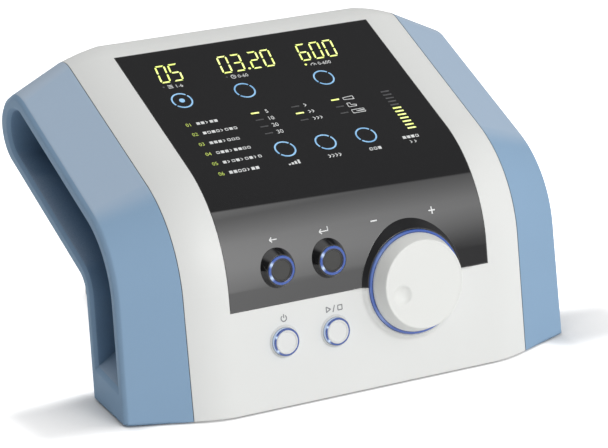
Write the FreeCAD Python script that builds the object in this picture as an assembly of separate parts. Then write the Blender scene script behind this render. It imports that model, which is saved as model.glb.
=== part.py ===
import FreeCAD, Part
import os
from math import atan2, cos, degrees, radians, sin, sqrt, tan

# Compression therapy pump: a table-top control unit with a leaning front, a dark touch panel,
# a large rotary knob, four lit push buttons and two blue side covers with grip recesses.
# X points to the user's right, Y to the back, Z up. Origin on the table, in the middle of the unit.
V = FreeCAD.Vector

# ---- driving dimensions, millimetres and degrees ----
foot_height = 1.5            # rubber feet stand this far below the covers
front_y = -126.3             # front edge of the central face, at table height
rear_y = front_y + 248.5     # back face of the rear cover
lean = 9.5                   # lower front face, from upright
slope = 24.5                 # upper front face, from level
upper_y, upper_z = front_y + 98.5, 158.9   # a point that the upper face passes through
bend_radius = 88.0           # between the lower and the upper face
crest_radius = 24.0          # along the top edge
crest_y = front_y + 166.9    # where the crest starts
rear_slope = 32.0            # fall of the top behind the crest

flat_half = 94.0             # the central face spans this far each side
seam_half = 120.4            # white front cover ends here, the blue side covers start
seam_depth = 6.5             # set-back of the front at the seam
end_depth = 21.5             # set-back of the front at the outer end
end_half = 160.0             # outer end of the side covers at the base
lip_depth = 72.9             # back edge of the side covers, measured in from the front
cover_wall = 3.5
seam_gap = 0.4

panel_half = 92.6
panel_low, panel_high = 64.6, 272.5     # along the front, up from the base
panel_thick = 2.0
panel_gap = 0.3

button_columns = (-57.4, -21.3)
lower_row, upper_row = 40.9, 86.1
knob_x, knob_up = 36.3, 62.6
clearance = 0.3

rear_wall = 3.0
rear_half = 77.0             # half width of the back face
waist_half = 118.0           # half width where the rear cover starts
waist_y = front_y + 74.4

board_out = -16.0            # front of the button board, out from the lower face
board_thick = 1.6            # of every circuit board


# ---- the front, seen from the side: a path of lines and arcs, followed from the base upwards ----
def normal(angle):
    return (-cos(radians(angle)), sin(radians(angle)))


def along(angle):
    return (sin(radians(angle)), cos(radians(angle)))


def move(point, direction, amount):
    return (point[0] + direction[0] * amount, point[1] + direction[1] * amount)


def dot(a, b):
    return a[0] * b[0] + a[1] * b[1]


face_angle = lean            # directions are given by how far the surface normal has turned
deck_angle = 90.0 - slope
back_angle = 90.0 + rear_slope


def bend_centre():
    low, deck = normal(face_angle), normal(deck_angle)
    a = dot(low, (front_y, foot_height)) - bend_radius
    b = dot(deck, (upper_y, upper_z)) - bend_radius
    det = low[0] * deck[1] - low[1] * deck[0]
    return ((a * deck[1] - b * low[1]) / det, (low[0] * b - deck[0] * a) / det)


def front_path():
    """List of (start, origin, angle, radius); radius 0 is a straight run."""
    base = (front_y, foot_height)
    centre = bend_centre()
    face_end = move(centre, normal(face_angle), bend_radius)
    deck_start = move(centre, normal(deck_angle), bend_radius)
    face_length = dot(move(face_end, base, -1.0), along(face_angle))
    bend_length = bend_radius * radians(deck_angle - face_angle)
    deck_length = (crest_y - deck_start[0]) / along(deck_angle)[0]
    crest_start = move(deck_start, along(deck_angle), deck_length)
    crest_centre = move(crest_start, normal(deck_angle), -crest_radius)
    crest_length = crest_radius * radians(back_angle - deck_angle)
    back_start = move(crest_centre, normal(back_angle), crest_radius)
    marks = [0.0, face_length, face_length + bend_length]
    marks.append(marks[2] + deck_length)
    marks.append(marks[3] + crest_length)
    return [(marks[0], base, face_angle, 0.0),
            (marks[1], centre, face_angle, bend_radius),
            (marks[2], deck_start, deck_angle, 0.0),
            (marks[3], crest_centre, deck_angle, crest_radius),
            (marks[4], back_start, back_angle, 0.0)]


path = front_path()
bend_mark, deck_mark, crest_mark, back_mark = [run[0] for run in path[1:]]
straight = path[:3]          # the same path with the deck carried on past the crest


def run_at(s, runs=path):
    found = runs[0]
    for run in runs:
        if run[0] <= s + 1e-9:
            found = run
    return found


def path_point(s, depth=0.0, run=None):
    """Point of the side view at distance s along the front, set in by depth."""
    start, origin, angle, radius = run or run_at(s)
    if radius:
        turned = angle + degrees((s - start) / radius)
        return move(origin, normal(turned), radius - depth)
    return move(move(origin, along(angle), s - start), normal(angle), -depth)


def at(x, point):
    return V(x, point[0], point[1])


def path_edges(x, s0, s1, depth, runs=path):
    """Edges along the front from s0 to s1, in that direction."""
    low, high = min(s0, s1), max(s0, s1)
    marks = [low] + [run[0] for run in runs[1:] if low + 1e-6 < run[0] < high - 1e-6] + [high]
    edges = []
    for a, b in zip(marks, marks[1:]):
        run = run_at(a, runs)
        ends = [at(x, path_point(a, depth, run)), at(x, path_point(b, depth, run))]
        if s0 > s1:
            ends.reverse()
        if run[3]:
            middle = at(x, path_point((a + b) / 2, depth, run))
            edges.append(Part.Arc(ends[0], middle, ends[1]).toShape())
        else:
            edges.append(Part.makeLine(*ends))
    return edges if s0 < s1 else edges[::-1]


def closed(edges):
    """The same edges in order, with straight lines where the next one starts elsewhere."""
    whole = []
    for edge, following in zip(edges, edges[1:] + edges[:1]):
        whole.append(edge)
        end, start = edge.lastVertex(True).Point, following.firstVertex(True).Point
        if end.distanceToPoint(start) > 1e-6:
            whole.append(Part.makeLine(end, start))
    return whole


def band_outline(x, s0, s1, outer, inner):
    return closed(path_edges(x, s0, s1, outer) + path_edges(x, s1, s0, inner))


def solid_from(faces):
    shell = Part.makeShell(faces)
    shell.sewShape()
    body = Part.makeSolid(shell)
    return body.reversed() if body.Volume < 0 else body


def side_face(a, b):
    """Face between two edges: a plane, a cone about the X direction, or else a ruled surface."""
    ends = [edge.firstVertex(True).Point for edge in (a, b)]
    ends += [edge.lastVertex(True).Point for edge in (b, a)]
    kinds = {edge.Curve.TypeId for edge in (a, b)}
    if kinds == {"Part::GeomLine"}:
        normal_to = (ends[3] - ends[0]).cross(ends[1] - ends[0])
        if abs((ends[2] - ends[0]).dot(normal_to)) < 1e-7 * max(normal_to.Length, 1.0):
            corners = [ends[0], ends[1], ends[2], ends[3]]
            return Part.Face(Part.makePolygon(corners + corners[:1]))
    if kinds == {"Part::GeomCircle"}:
        centres = [edge.Curve.Center for edge in (a, b)]
        apart = centres[1] - centres[0]
        level = all(abs(edge.Curve.Axis.x) > 1 - 1e-9 for edge in (a, b))
        if level and abs(apart.y) < 1e-7 and abs(apart.z) < 1e-7:
            start, end = [point - centres[0] for point in (ends[0], ends[3])]
            angle = degrees(atan2(start.y * end.z - start.z * end.y, start.y * end.y + start.z * end.z))
            return Part.makeLine(ends[0], ends[1]).revolve(centres[0], V(1, 0, 0), angle)
    return Part.makeRuledSurface(a, b)


def ruled(first, second):
    """Solid between two outlines with matching edges."""
    sides = [side_face(a, b) for a, b in zip(first, second)]
    return solid_from(sides + [Part.Face(Part.Wire(first)), Part.Face(Part.Wire(second))])


def strip(x0, x1, s0, s1, outer, inner):
    """Solid that follows the front between two depths."""
    face = Part.Face(Part.Wire(band_outline(x0, s0, s1, outer, inner)))
    return face.extrude(V(x1 - x0, 0, 0))


def mirror(shape):
    return shape.mirror(V(0, 0, 0), V(1, 0, 0))


def half_space(point, direction, size=700.0):
    block = Part.makeBox(size, size, size, V(-size / 2, -size / 2, 0))
    block.Placement = FreeCAD.Placement(point, FreeCAD.Rotation(V(0, 0, 1), direction))
    return block


def below_covers():
    return half_space(V(0, 0, foot_height), V(0, 0, -1))


def box(x0, x1, y0, y1, z0, z1):
    return Part.makeBox(x1 - x0, y1 - y0, z1 - z0, V(x0, y0, z0))


def fuse(shapes):
    shapes = list(shapes)
    return shapes[0].multiFuse(shapes[1:]).removeSplitter() if len(shapes) > 1 else shapes[0]


# ---- things that stand on the lower front face: x across, up along it, out from it ----
out_axis = V(0, normal(face_angle)[0], normal(face_angle)[1])


def face_point(x, up, out):
    q = move(move(path[0][1], along(face_angle), up), normal(face_angle), out)
    return at(x, q)


def rod(x, up, radius, out0, out1):
    return Part.makeCylinder(radius, out1 - out0, face_point(x, up, out0), out_axis)


def cone(x, up, r0, r1, out0, out1):
    return Part.makeCone(r0, r1, out1 - out0, face_point(x, up, out0), out_axis)


def turned(x, up, outline):
    """Body of revolution about the outward axis; outline is a list of (radius, out)."""
    points = [V(r, 0, h) for r, h in outline]
    face = Part.Face(Part.makePolygon(points + points[:1]))
    body = face.revolve(V(0, 0, 0), V(0, 0, 1), 360)
    body.Placement = FreeCAD.Placement(face_point(x, up, 0), FreeCAD.Rotation(V(0, 0, 1), out_axis))
    return body


def face_block(x0, x1, up0, up1, out0, out1):
    block = Part.makeBox(x1 - x0, up1 - up0, out1 - out0)
    turn = FreeCAD.Rotation(V(1, 0, 0), V(0, along(face_angle)[0], along(face_angle)[1]), out_axis, "ZYX")
    block.Placement = FreeCAD.Placement(face_point(x0, up0, out0), turn)
    return block


# ---- knob seat: a shallow cone around the knob, black where it belongs to the panel ----
seat_inner, seat_top, seat_base = 33.3, 33.8, 36.4
seat_height = 3.2
seat_flare = (seat_base - seat_top) / seat_height
seat_sink = 6.0
ring_outer, ring_inner, ring_out = 33.0, 29.8, 4.6
knob_floor = -panel_thick


def knob_seat():
    body = cone(knob_x, knob_up, seat_base + seat_flare * seat_sink, seat_top, -seat_sink, seat_height)
    body = body.cut(rod(knob_x, knob_up, seat_inner, -seat_sink - 1, seat_height + 1))
    return body.cut(strip(-20, 110, -10, 200, 0.0, 40.0))


def above_panel_edge(up):
    return half_space(face_point(0, up, 0), V(0, along(face_angle)[0], along(face_angle)[1]))


# ---- buttons ----
# Each kind: cap radius, top of the cap, light ring inner and outer radius and top, lowest point of the ring,
# where the cap's flange stops and the radius of the hole
dark_button = dict(cap=6.9, top=3.9, ring=(7.2, 9.05), ring_top=4.7, ring_low=2.0, stop=-6.5, hole=8.6)
white_button = dict(cap=7.0, top=3.6, ring=(7.25, 8.7), ring_top=3.5, ring_low=-1.5, stop=-cover_wall,
                    hole=7.25)
bezel_base, bezel_top, bezel_height = 11.7, 9.7, 4.1
bezel_sink = 5.0
stem_radius, stem_end = 2.5, -12.6
switch_top = -10.3
flange_radius, flange_thick = 8.2, 1.2

buttons = {
    "esc": (button_columns[0], upper_row, dark_button),
    "enter": (button_columns[1], upper_row, dark_button),
    "on_off": (button_columns[0], lower_row, white_button),
    "start_stop": (button_columns[1], lower_row, white_button),
}


def button_cap(x, up, kind):
    flange_out = kind["stop"] - clearance
    r, top = kind["cap"], kind["top"]
    outline = [(0, top), (r, top), (r, flange_out), (flange_radius, flange_out),
               (flange_radius, flange_out - flange_thick), (stem_radius, flange_out - flange_thick),
               (stem_radius, stem_end), (0, stem_end)]
    return turned(x, up, outline)


def light_ring(x, up, kind):
    inner, outer = kind["ring"]
    top, low = kind["ring_top"], kind["ring_low"]
    return turned(x, up, [(inner, low), (outer, low), (outer, top), (inner, top)])


def button_bezel(x, up, kind):
    flare = (bezel_base - bezel_top) / bezel_height
    body = cone(x, up, bezel_base + flare * bezel_sink, bezel_top, -bezel_sink, bezel_height)
    body = body.cut(strip(x - 25, x + 25, -10, 200, 0.0, 40.0))
    body = body.fuse(rod(x, up, kind["hole"], kind["stop"], 1.0))
    body = body.cut(rod(x, up, kind["ring"][0], kind["stop"] - 1, bezel_height + 1))
    return body.cut(rod(x, up, kind["ring"][1], kind["ring_low"], bezel_height + 1))


# ---- housing ----
tail = -14.0                 # sections start below the table and are trimmed at the base
front_end = back_mark + 1.0  # the front cover ends just behind the crest


def cover_section(x, depth, wall):
    return band_outline(x, tail, front_end, depth, depth + wall)


def front_shell():
    middle = strip(-flat_half, flat_half, tail, front_end, 0.0, cover_wall)
    right = ruled(cover_section(flat_half, 0.0, cover_wall), cover_section(seam_half, seam_depth, cover_wall))
    return fuse([middle, right, mirror(right)]).cut(below_covers())


window_half = 84.0
window_low, window_high = 116.0, 264.0
boss_radius, boss_height = 10.0, 0.8


def front_cover():
    body = front_shell()
    pocket_half = panel_half + panel_gap
    body = body.cut(strip(-pocket_half, pocket_half, panel_low - panel_gap, panel_high + panel_gap,
                          -2.0, panel_thick))
    body = body.cut(strip(-window_half, window_half, window_low, window_high, -2.0, 20.0))
    seat = knob_seat().common(half_space(face_point(0, panel_low - panel_gap, 0),
                                         V(0, -along(face_angle)[0], -along(face_angle)[1])))
    bosses = [seat]
    for x, up, kind in buttons.values():
        if kind is white_button:
            bosses.append(cone(x, up, boss_radius, boss_radius - boss_height, 0, boss_height))
    body = fuse([body] + bosses)
    for x, up, kind in buttons.values():
        body = body.cut(rod(x, up, kind["hole"], -12, 6))
        if kind is white_button:
            body = body.cut(rod(x, up, kind["ring"][1], kind["ring_low"], 6))
    body = body.cut(rod(knob_x, knob_up, seat_inner, knob_floor, 8))
    body = body.cut(rod(knob_x, knob_up, bushing_radius, -12, 8))
    posts = [face_block(x - 3, x + 3, up - 3, up + 3, board_out, -top) for x, up, top in boss_spots]
    for x in (-88, 88):
        for s in (172, 258):
            posts.append(deck_block(x - 3, x + 3, s - 3, s + 3, cover_wall - 0.5, display_depth))
    for x in (-screw_front_x, screw_front_x):
        posts.append(z_rod(x, screw_front_y, 4.0, base_top, 18))
        posts.append(box(x - 1.5, x + 1.5, front_y + 5, screw_front_y, base_top, 18))
    body = fuse([body] + posts)
    for x in (-screw_front_x, screw_front_x):
        body = body.cut(z_rod(x, screw_front_y, screw_radius, 0, 16))
    return body


def control_panel():
    body = strip(-panel_half, panel_half, panel_low, panel_high, 0.0, panel_thick)
    body = body.fuse(knob_seat().common(above_panel_edge(panel_low)))
    for x, up, kind in buttons.values():
        if kind is dark_button:
            body = body.cut(rod(x, up, kind["hole"], -12, 8))
    return body.cut(rod(knob_x, knob_up, seat_inner, -12, 8)).removeSplitter()


# ---- side covers: a bent band with a rounded upper end and a long grip recess ----
tip_mark = 261.5             # where the round end of the band sits, along the front
trim_half = 168.0            # the band is made this long, then trimmed by its leaning end face
end_set_back = 0.0855        # the end face moves in towards the lip
end_lean = 1.15              # and leans in with height, degrees
tail_radius = 24.3           # lower rounding of the band where it meets the body
rim = 7.5                    # wall left around the grip recess
rim_round = 2.0              # broken edge around the end face and the recess mouth
recess_inner = 121.8
recess_floor = 16.0 + foot_height


def band_end(depth, tip, tail_radius, mark):
    """Centres of the two end arcs and the flat between them, for a band from depth to lip_depth."""
    inward = (-normal(deck_angle)[0], -normal(deck_angle)[1])
    first = path_point(mark, depth + tip, path[2])
    flat = lip_depth - tail_radius - depth - tip - (tip - tail_radius) * dot(normal(back_angle), inward)
    flat /= dot(along(back_angle), inward)
    start = move(first, normal(back_angle), tip)
    end = move(start, along(back_angle), flat)
    second = move(end, normal(back_angle), -tail_radius)
    return first, start, end, second


def arc(x, centre, radius, a0, a1):
    ends = [at(x, move(centre, normal(a), radius)) for a in (a0, (a0 + a1) / 2, a1)]
    return Part.Arc(*ends).toShape()


def grip_outline(x, depth, tip, tail_radius, mark):
    first, start, end, second = band_end(depth, tip, tail_radius, mark)
    lip_mark = deck_mark + dot(move(second, path[2][1], -1.0), along(deck_angle))
    edges = path_edges(x, tail, mark, depth)
    edges.append(arc(x, first, tip, deck_angle, back_angle))
    edges.append(Part.makeLine(at(x, start), at(x, end)))
    edges.append(arc(x, second, tail_radius, back_angle, deck_angle + 180.0))
    return closed(edges + path_edges(x, lip_mark, tail, lip_depth, straight))


def level_mark(height, depth):
    """Distance along the front where the lower run, set in by depth, reaches a height."""
    return (height - foot_height + depth * normal(face_angle)[1]) / along(face_angle)[1]


def recess_outline(x, front, back, floor, mark):
    """Outline of the grip recess: a bent slot with a round upper end and a level floor."""
    radius = (back - front) / 2
    edges = path_edges(x, level_mark(floor, front), mark, front)
    edges.append(arc(x, path_point(mark, front + radius, path[2]), radius, deck_angle, deck_angle + 180.0))
    return closed(edges + path_edges(x, mark, level_mark(floor, back), back))


def under_front(x0, x1):
    """The space that the front cover and its sloping sides take up."""
    return strip(x0, x1, tail - 5, front_end + seam_gap, -20.0, seam_depth + cover_wall + 0.6)


def rear_wedge(margin, y_start):
    """Plan of the rear cover, set out by margin: a wedge that narrows to the back."""
    rate = (waist_half - rear_half) / (rear_y - waist_y)
    wide = waist_half + margin + rate * (waist_y - y_start)
    narrow = rear_half + margin - rate * (200.0 - rear_y)
    plan = [V(-wide, y_start, -10), V(wide, y_start, -10), V(narrow, 200, -10), V(-narrow, 200, -10)]
    return Part.Face(Part.makePolygon(plan + plan[:1])).extrude(V(0, 0, 260))


def end_edges(depth, finish):
    """Edges along the end face, which is set back towards the lip and leans in with height."""
    marks = [tail - 20.0, bend_mark, deck_mark, finish]
    edges = []
    for start, end, run in zip(marks, marks[1:], straight):
        points = []
        for y, z in [path_point(s, depth, run) for s in (start, (start + end) / 2, end)]:
            x = end_half + end_set_back * (end_depth - depth) - tan(radians(end_lean)) * (z - foot_height)
            points.append(V(x, y, z))
        edges.append(Part.Arc(*points).toShape() if run[3] else Part.makeLine(points[0], points[2]))
    return edges


def end_trim():
    """Everything beyond the end face, which follows the bend."""
    deep, far, finish = 85.0, 220.0, 330.0
    near = [end_edges(0.0, finish), end_edges(deep, finish)]
    away = [path_edges(far, tail - 20, finish, depth, straight) for depth in (0.0, deep)]
    pairs = list(zip(*near)) + list(zip(*away)) + list(zip(near[0], away[0])) + list(zip(near[1], away[1]))
    faces = [side_face(a, b) for a, b in pairs]
    for index, vertex in ((0, "firstVertex"), (-1, "lastVertex")):
        corners = [getattr(side[index], vertex)(True).Point for side in (near[0], near[1], away[1], away[0])]
        faces.append(Part.Face(Part.makePolygon(corners + corners[:1])))
    return solid_from(faces)


def side_cover_right():
    gap_half = seam_half + seam_gap
    seam_tip = crest_radius - seam_depth
    rate = (end_depth - seam_depth) / (end_half - seam_half)
    trim_depth = end_depth + rate * (trim_half - end_half)
    trim_tip = (lip_depth - trim_depth) / 2 - 0.3
    seam_outline = grip_outline(gap_half, seam_depth, seam_tip, tail_radius, crest_mark)
    outer = ruled(seam_outline, grip_outline(trim_half, trim_depth, trim_tip, trim_tip, tip_mark))
    inner = Part.Face(Part.Wire(seam_outline)).extrude(V(70.0 - gap_half, 0, 0))
    inner = inner.cut(under_front(60, gap_half))
    inner = inner.cut(box(60, waist_half + clearance, -200, waist_y, -20, 220))
    inner = inner.cut(rear_wedge(clearance, waist_y - 1))
    body = outer.fuse(inner).cut(end_trim()).cut(below_covers())
    mouth = recess_outline(trim_half, end_depth + rim, lip_depth - rim, recess_floor - 3.0, tip_mark + 4.0)
    recess = ruled(recess_outline(recess_inner, 32.0, 60.0, recess_floor + 27.0, tip_mark + 1.0), mouth)
    return round_end(body.cut(recess))


def round_end(body):
    """Break the edges around the end face and the recess mouth."""
    ends = [f for f in body.Faces if f.CenterOfMass.x > 150 and abs(f.normalAt(*middle_of(f)).x) > 0.98]
    counts = {}
    for face in ends:
        for edge in face.Edges:
            counts.setdefault(edge.hashCode(), []).append(edge)
    rims = [edges[0] for edges in counts.values() if len(edges) == 1]
    rims = [e for e in rims if e.BoundBox.ZMax > foot_height + 1.0]
    return body.makeChamfer(rim_round, rims)


def middle_of(face):
    u0, u1, v0, v1 = face.ParameterRange
    return ((u0 + u1) / 2, (v0 + v1) / 2)


# ---- rotary control ----
bushing_radius = 4.7


def knob():
    front, lip = 15.0, 5.0
    outline = [(3.0, lip), (7.0, lip), (7.0, 11.0), (24.6, 11.0), (27.8, lip), (30.6, lip),
               (30.6, lip + 1.2), (28.0, front - 0.6), (27.4, front), (0, front), (0, 12.8), (3.0, 12.8)]
    body = turned(knob_x, knob_up, outline)
    dimple = Part.makeSphere(9.0, face_point(knob_x - 16.2, knob_up - 4.6, front + 6.2))
    return body.cut(dimple)


def knob_light_ring():
    return turned(knob_x, knob_up, [(ring_inner, knob_floor), (ring_outer, knob_floor),
                                    (ring_outer, ring_out), (ring_inner, ring_out)])


def encoder_body():
    body = face_block(knob_x - 7, knob_x + 7, knob_up - 7, knob_up + 7, board_out, -9.0)
    body = body.fuse(rod(knob_x, knob_up, bushing_radius, -9.0, 1.8))
    return body.cut(rod(knob_x, knob_up, 3.05, board_out + 0.8, 3.0))


def encoder_shaft():
    return rod(knob_x, knob_up, 3.0, board_out + 1.0, 12.8)


def encoder_nut():
    points = [V(7.0 * cos(radians(a)), 7.0 * sin(radians(a)), 0) for a in range(0, 360, 60)]
    nut = Part.Face(Part.makePolygon(points + points[:1])).extrude(V(0, 0, 2.0))
    outward = FreeCAD.Rotation(V(0, 0, 1), out_axis)
    nut.Placement = FreeCAD.Placement(face_point(knob_x, knob_up, knob_floor), outward)
    return nut.cut(rod(knob_x, knob_up, bushing_radius, -5, 5))


def button_board():
    return face_block(-74, 70, 24, 100, board_out - board_thick, board_out)


# x, up, and how far below the face each post of the button board starts
boss_spots = ((-70, 30, 3.0), (66, 30, 3.0), (-70, 90, 3.9), (66, 90, 3.9))


def push_switches():
    bodies = []
    for x, up, kind in buttons.values():
        body = face_block(x - 6, x + 6, up - 6, up + 6, board_out, switch_top)
        half = stem_radius + clearance
        well = face_block(x - half, x + half, up - half, up + half, board_out + 1.2, switch_top + 1)
        bodies.append(body.cut(well))
    return Part.makeCompound(bodies)


# ---- display: modules on a board under the upper face ----
display_depth = 12.0
touch_spots = ((-67.7, 223.9), (-22.8, 223.9), (35.1, 223.9), (-23.4, 170.7), (5.7, 170.7), (35.2, 170.7))


def deck_block(x0, x1, s0, s1, d0, d1):
    corners = [at(x0, path_point(s, d, path[2])) for s, d in ((s0, d0), (s1, d0), (s1, d1), (s0, d1))]
    return Part.Face(Part.makePolygon(corners + corners[:1])).extrude(V(x1 - x0, 0, 0))


def display_board():
    return deck_block(-91, 91, 152, 266, display_depth, display_depth + board_thick)


def display_module(x0, x1, s0, s1):
    return deck_block(x0, x1, s0, s1, panel_thick + 0.3, display_depth)


def touch_electrodes():
    half, near, far = 5.0, panel_thick + 0.1, panel_thick + 0.5
    return Part.makeCompound([deck_block(x - half, x + half, s - half, s + half, near, far)
                              for x, s in touch_spots])


# ---- rear cover and base ----


def reach(y, depth, run):
    """Distance along the front at which a straight run, set in by depth, comes to y."""
    return run[0] + (y - path_point(run[0], depth, run)[0]) / along(run[2])[0]


def body_block(depth, y0, y1):
    """Everything under the top surface set in by depth, between two places."""
    first = path[2] if y0 < crest_y else path[4]
    top = path_edges(-200, reach(y0, depth, first), reach(y1, depth, path[4]), depth)
    ends = [top[-1].lastVertex(True).Point, top[0].firstVertex(True).Point]
    corners = [ends[0], V(-200, y1, -20), V(-200, y0, -20), ends[1]]
    sides = [Part.makeLine(a, b) for a, b in zip(corners, corners[1:])]
    return Part.Face(Part.Wire(top + sides)).extrude(V(400, 0, 0))


def rear_cover():
    outer = body_block(0.0, waist_y, rear_y).common(rear_wedge(0.0, waist_y - 20)).removeSplitter()
    corners = [e for e in outer.Edges if e.BoundBox.YMin > rear_y - 0.1 and e.BoundBox.ZMax > 20]
    outer = outer.makeFillet(8.0, corners)
    inner = body_block(rear_wall, waist_y - 5, rear_y - rear_wall)
    body = outer.cut(inner.common(rear_wedge(-rear_wall - 0.1, waist_y - 20))).cut(below_covers())
    body = body.cut(under_front(-130, 130))
    for x in (-port_x, port_x):
        body = body.cut(y_rod(x, port_z, 10.0, rear_y - 5, rear_y + 1))
    body = body.cut(box(power_x - 13.5, power_x + 13.5, rear_y - 5, rear_y + 1, power_z - 29, power_z + 29))
    for i in range(-4, 5):
        z = fan_z + 6.0 * i
        half = sqrt(27.0 ** 2 - (6.0 * i) ** 2)
        body = body.cut(box(fan_x - half, fan_x + half, rear_y - 5, rear_y + 1, z - 1.3, z + 1.3))
    for x in (-screw_rear_x, screw_rear_x):
        rib = box(x - 1.5, x + 1.5, screw_rear_y, rear_y - 1, base_top, 18)
        body = fuse([body, rib, z_rod(x, screw_rear_y, 4.0, base_top, 18)])
        body = body.cut(z_rod(x, screw_rear_y, screw_radius, 0, 16))
    return body


def y_rod(x, z, radius, y0, y1):
    return Part.makeCylinder(radius, y1 - y0, V(x, y0, z), V(0, 1, 0))


def z_rod(x, y, radius, z0, z1):
    return Part.makeCylinder(radius, z1 - z0, V(x, y, z0))


def x_rod(y, z, radius, x0, x1):
    return Part.makeCylinder(radius, x1 - x0, V(x0, y, z), V(1, 0, 0))


base_thick = 2.5
base_top = foot_height + base_thick
screw_front_x, screw_front_y = 72.0, front_y + 14.0
screw_radius = 1.5
screw_rear_x, screw_rear_y = 64.0, rear_y - 14.0
foot_spots = ((-98, front_y + 26), (98, front_y + 26), (-62, rear_y - 32), (62, rear_y - 32))


def base_plate():
    edge = cover_wall + 0.7
    rate = (waist_half - rear_half) / (rear_y - waist_y)
    back = rear_y - rear_wall - 0.4
    right = [(flat_half - 1.0, front_y + edge / cos(radians(lean))),
             (waist_half - 0.3, front_y + (seam_depth + edge) / cos(radians(lean))),
             (waist_half - 0.3, waist_y - 2.0),
             (waist_half - rear_wall - 0.6, waist_y - 0.5),
             (waist_half - rear_wall - 0.6 - rate * (back - waist_y), back)]
    plan = right + [(-x, y) for x, y in reversed(right)]
    points = [V(x, y, foot_height) for x, y in plan]
    plate = Part.Face(Part.makePolygon(points + points[:1])).extrude(V(0, 0, base_thick))
    for x in (-50, 50):
        for i in range(6):
            y = waist_y + 14.0 + 7.0 * i
            plate = plate.cut(box(x - 22, x + 22, y - 1.5, y + 1.5, 0, 10))
    for x, y in base_screw_spots():
        plate = plate.cut(z_rod(x, y, screw_radius, 0, 10))
    return plate


def base_screw_spots():
    return [(x, screw_front_y) for x in (-screw_front_x, screw_front_x)] + \
           [(x, screw_rear_y) for x in (-screw_rear_x, screw_rear_x)]


def base_screws():
    screws = []
    for x, y in base_screw_spots():
        head = z_rod(x, y, 3.2, foot_height - 1.1, foot_height)
        screws.append(head.fuse(z_rod(x, y, screw_radius, foot_height, 15.5)))
    return Part.makeCompound(screws)


def rubber_feet():
    return Part.makeCompound([z_rod(x, y, 8.0, 0, foot_height) for x, y in foot_spots])


# ---- back face: hose ports, mains inlet, fan ----
port_x, port_z = 36.0, 120.0
lumen_circle, lumen_radius, hose_radius = 7.0, 1.5, 9.4
port_reach = 12.5
power_x, power_z = 40.0, 50.0
fan_x, fan_z = -32.0, 56.0
fan_half, fan_deep = 30.0, 15.0


def lumens(x):
    return [(x + lumen_circle * cos(radians(30 + 60 * i)), port_z + lumen_circle * sin(radians(30 + 60 * i)))
            for i in range(6)]


def hose_port(x):
    body = y_rod(x, port_z, 16.0, rear_y, rear_y + 2.5)
    body = body.fuse(y_rod(x, port_z, 13.0, rear_y, rear_y + port_reach))
    body = body.fuse(y_rod(x, port_z, 10.0, rear_y - rear_wall - 4, rear_y))
    for lx, lz in lumens(x):
        body = body.cut(y_rod(lx, lz, lumen_radius, rear_y - 2, rear_y + port_reach + 1))
    return body.removeSplitter()


def outlet_hoses():
    return Part.makeCompound([y_rod(x, port_z, hose_radius, manifold_back, rear_y - rear_wall - 4)
                              for x in (-port_x, port_x)])


manifold_back = rear_y - 30.0
manifold_front = manifold_back - 24.0
manifold_low, manifold_high = port_z - 11.0, port_z + 11.0
manifold_half = 52.0


def valve_manifold():
    return box(-manifold_half, manifold_half, manifold_front, manifold_back, manifold_low, manifold_high)


def solenoid_valves():
    pitch = 2 * manifold_half / 12
    valves = []
    for i in range(12):
        x = -manifold_half + pitch * (i + 0.5)
        coil = box(x - 3.6, x + 3.6, manifold_front + 4, manifold_back - 4, manifold_high, manifold_high + 20)
        valves.append(coil.fuse(box(x - 2, x + 2, manifold_back - 12, manifold_back - 8, manifold_high + 20,
                                    manifold_high + 23)))
    return Part.makeCompound(valves)


def manifold_posts():
    y0 = manifold_front + 5
    return Part.makeCompound([box(x - 3, x + 3, y0, y0 + 14, base_top, manifold_low) for x in (-46, 46)])


power_front = rear_y - rear_wall - 22.0


def mains_inlet():
    body = box(power_x - 13.5, power_x + 13.5, power_front, rear_y, power_z - 29, power_z + 29)
    body = body.fuse(box(power_x - 16, power_x + 16, rear_y, rear_y + 2, power_z - 32, power_z + 32))
    body = body.cut(inlet_socket())
    for half, deep, z, high in ((11.5, 9.0, rocker_z, 8.2), (11.3, 17.0, fuse_z, 4.8)):
        body = body.cut(box(power_x - half, power_x + half, rear_y - deep, rear_y + 3, z - high, z + high))
    return body.cut(x_rod(rocker_y, rocker_z, 1.25, power_x - 12.6, power_x + 12.6))


rocker_y, rocker_z = rear_y - 1.0, power_z + 18.5
fuse_z = power_z - 19.5
rocker_tilt = 8.0


def inlet_socket():
    """Six-sided socket of an appliance inlet, with its two upper corners cut off."""
    plan = [(-12, -9), (12, -9), (12, 3.5), (7, 8.5), (-7, 8.5), (-12, 3.5)]
    points = [V(power_x + x, rear_y - 15, power_z + z) for x, z in plan]
    return Part.Face(Part.makePolygon(points + points[:1])).extrude(V(0, 18, 0))


def inlet_pins():
    pins = []
    for dx, dz in ((-7, -1.5), (7, -1.5), (0, 2.5)):
        x, z = power_x + dx, power_z + dz
        pins.append(box(x - 1, x + 1, rear_y - 15, rear_y - 3, z - 2, z + 2))
    return Part.makeCompound(pins)


def mains_rocker():
    outline = [(3.2, -7.3), (1.8, 0), (3.2, 7.3), (-2.5, 6.8), (-6.0, 3.0), (-6.0, -3.0), (-2.5, -6.8)]
    points = [V(power_x - 11, rocker_y + y, rocker_z + z) for y, z in outline]
    body = Part.Face(Part.makePolygon(points + points[:1])).extrude(V(22, 0, 0))
    body = body.fuse(x_rod(rocker_y, rocker_z, 1.2, power_x - 12.4, power_x + 12.4)).removeSplitter()
    body.rotate(V(power_x, rocker_y, rocker_z), V(1, 0, 0), -rocker_tilt)
    return body


def fuse_drawer():
    body = box(power_x - 11, power_x + 11, rear_y - 16, rear_y + 1.5, fuse_z - 4.5, fuse_z + 4.5)
    body = body.cut(box(power_x - 9, power_x + 9, rear_y - 14, rear_y - 2, fuse_z - 2.5, fuse_z + 6))
    return body.cut(box(power_x - 4, power_x + 4, rear_y + 0.5, rear_y + 2, fuse_z + 2, fuse_z + 5))


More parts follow.
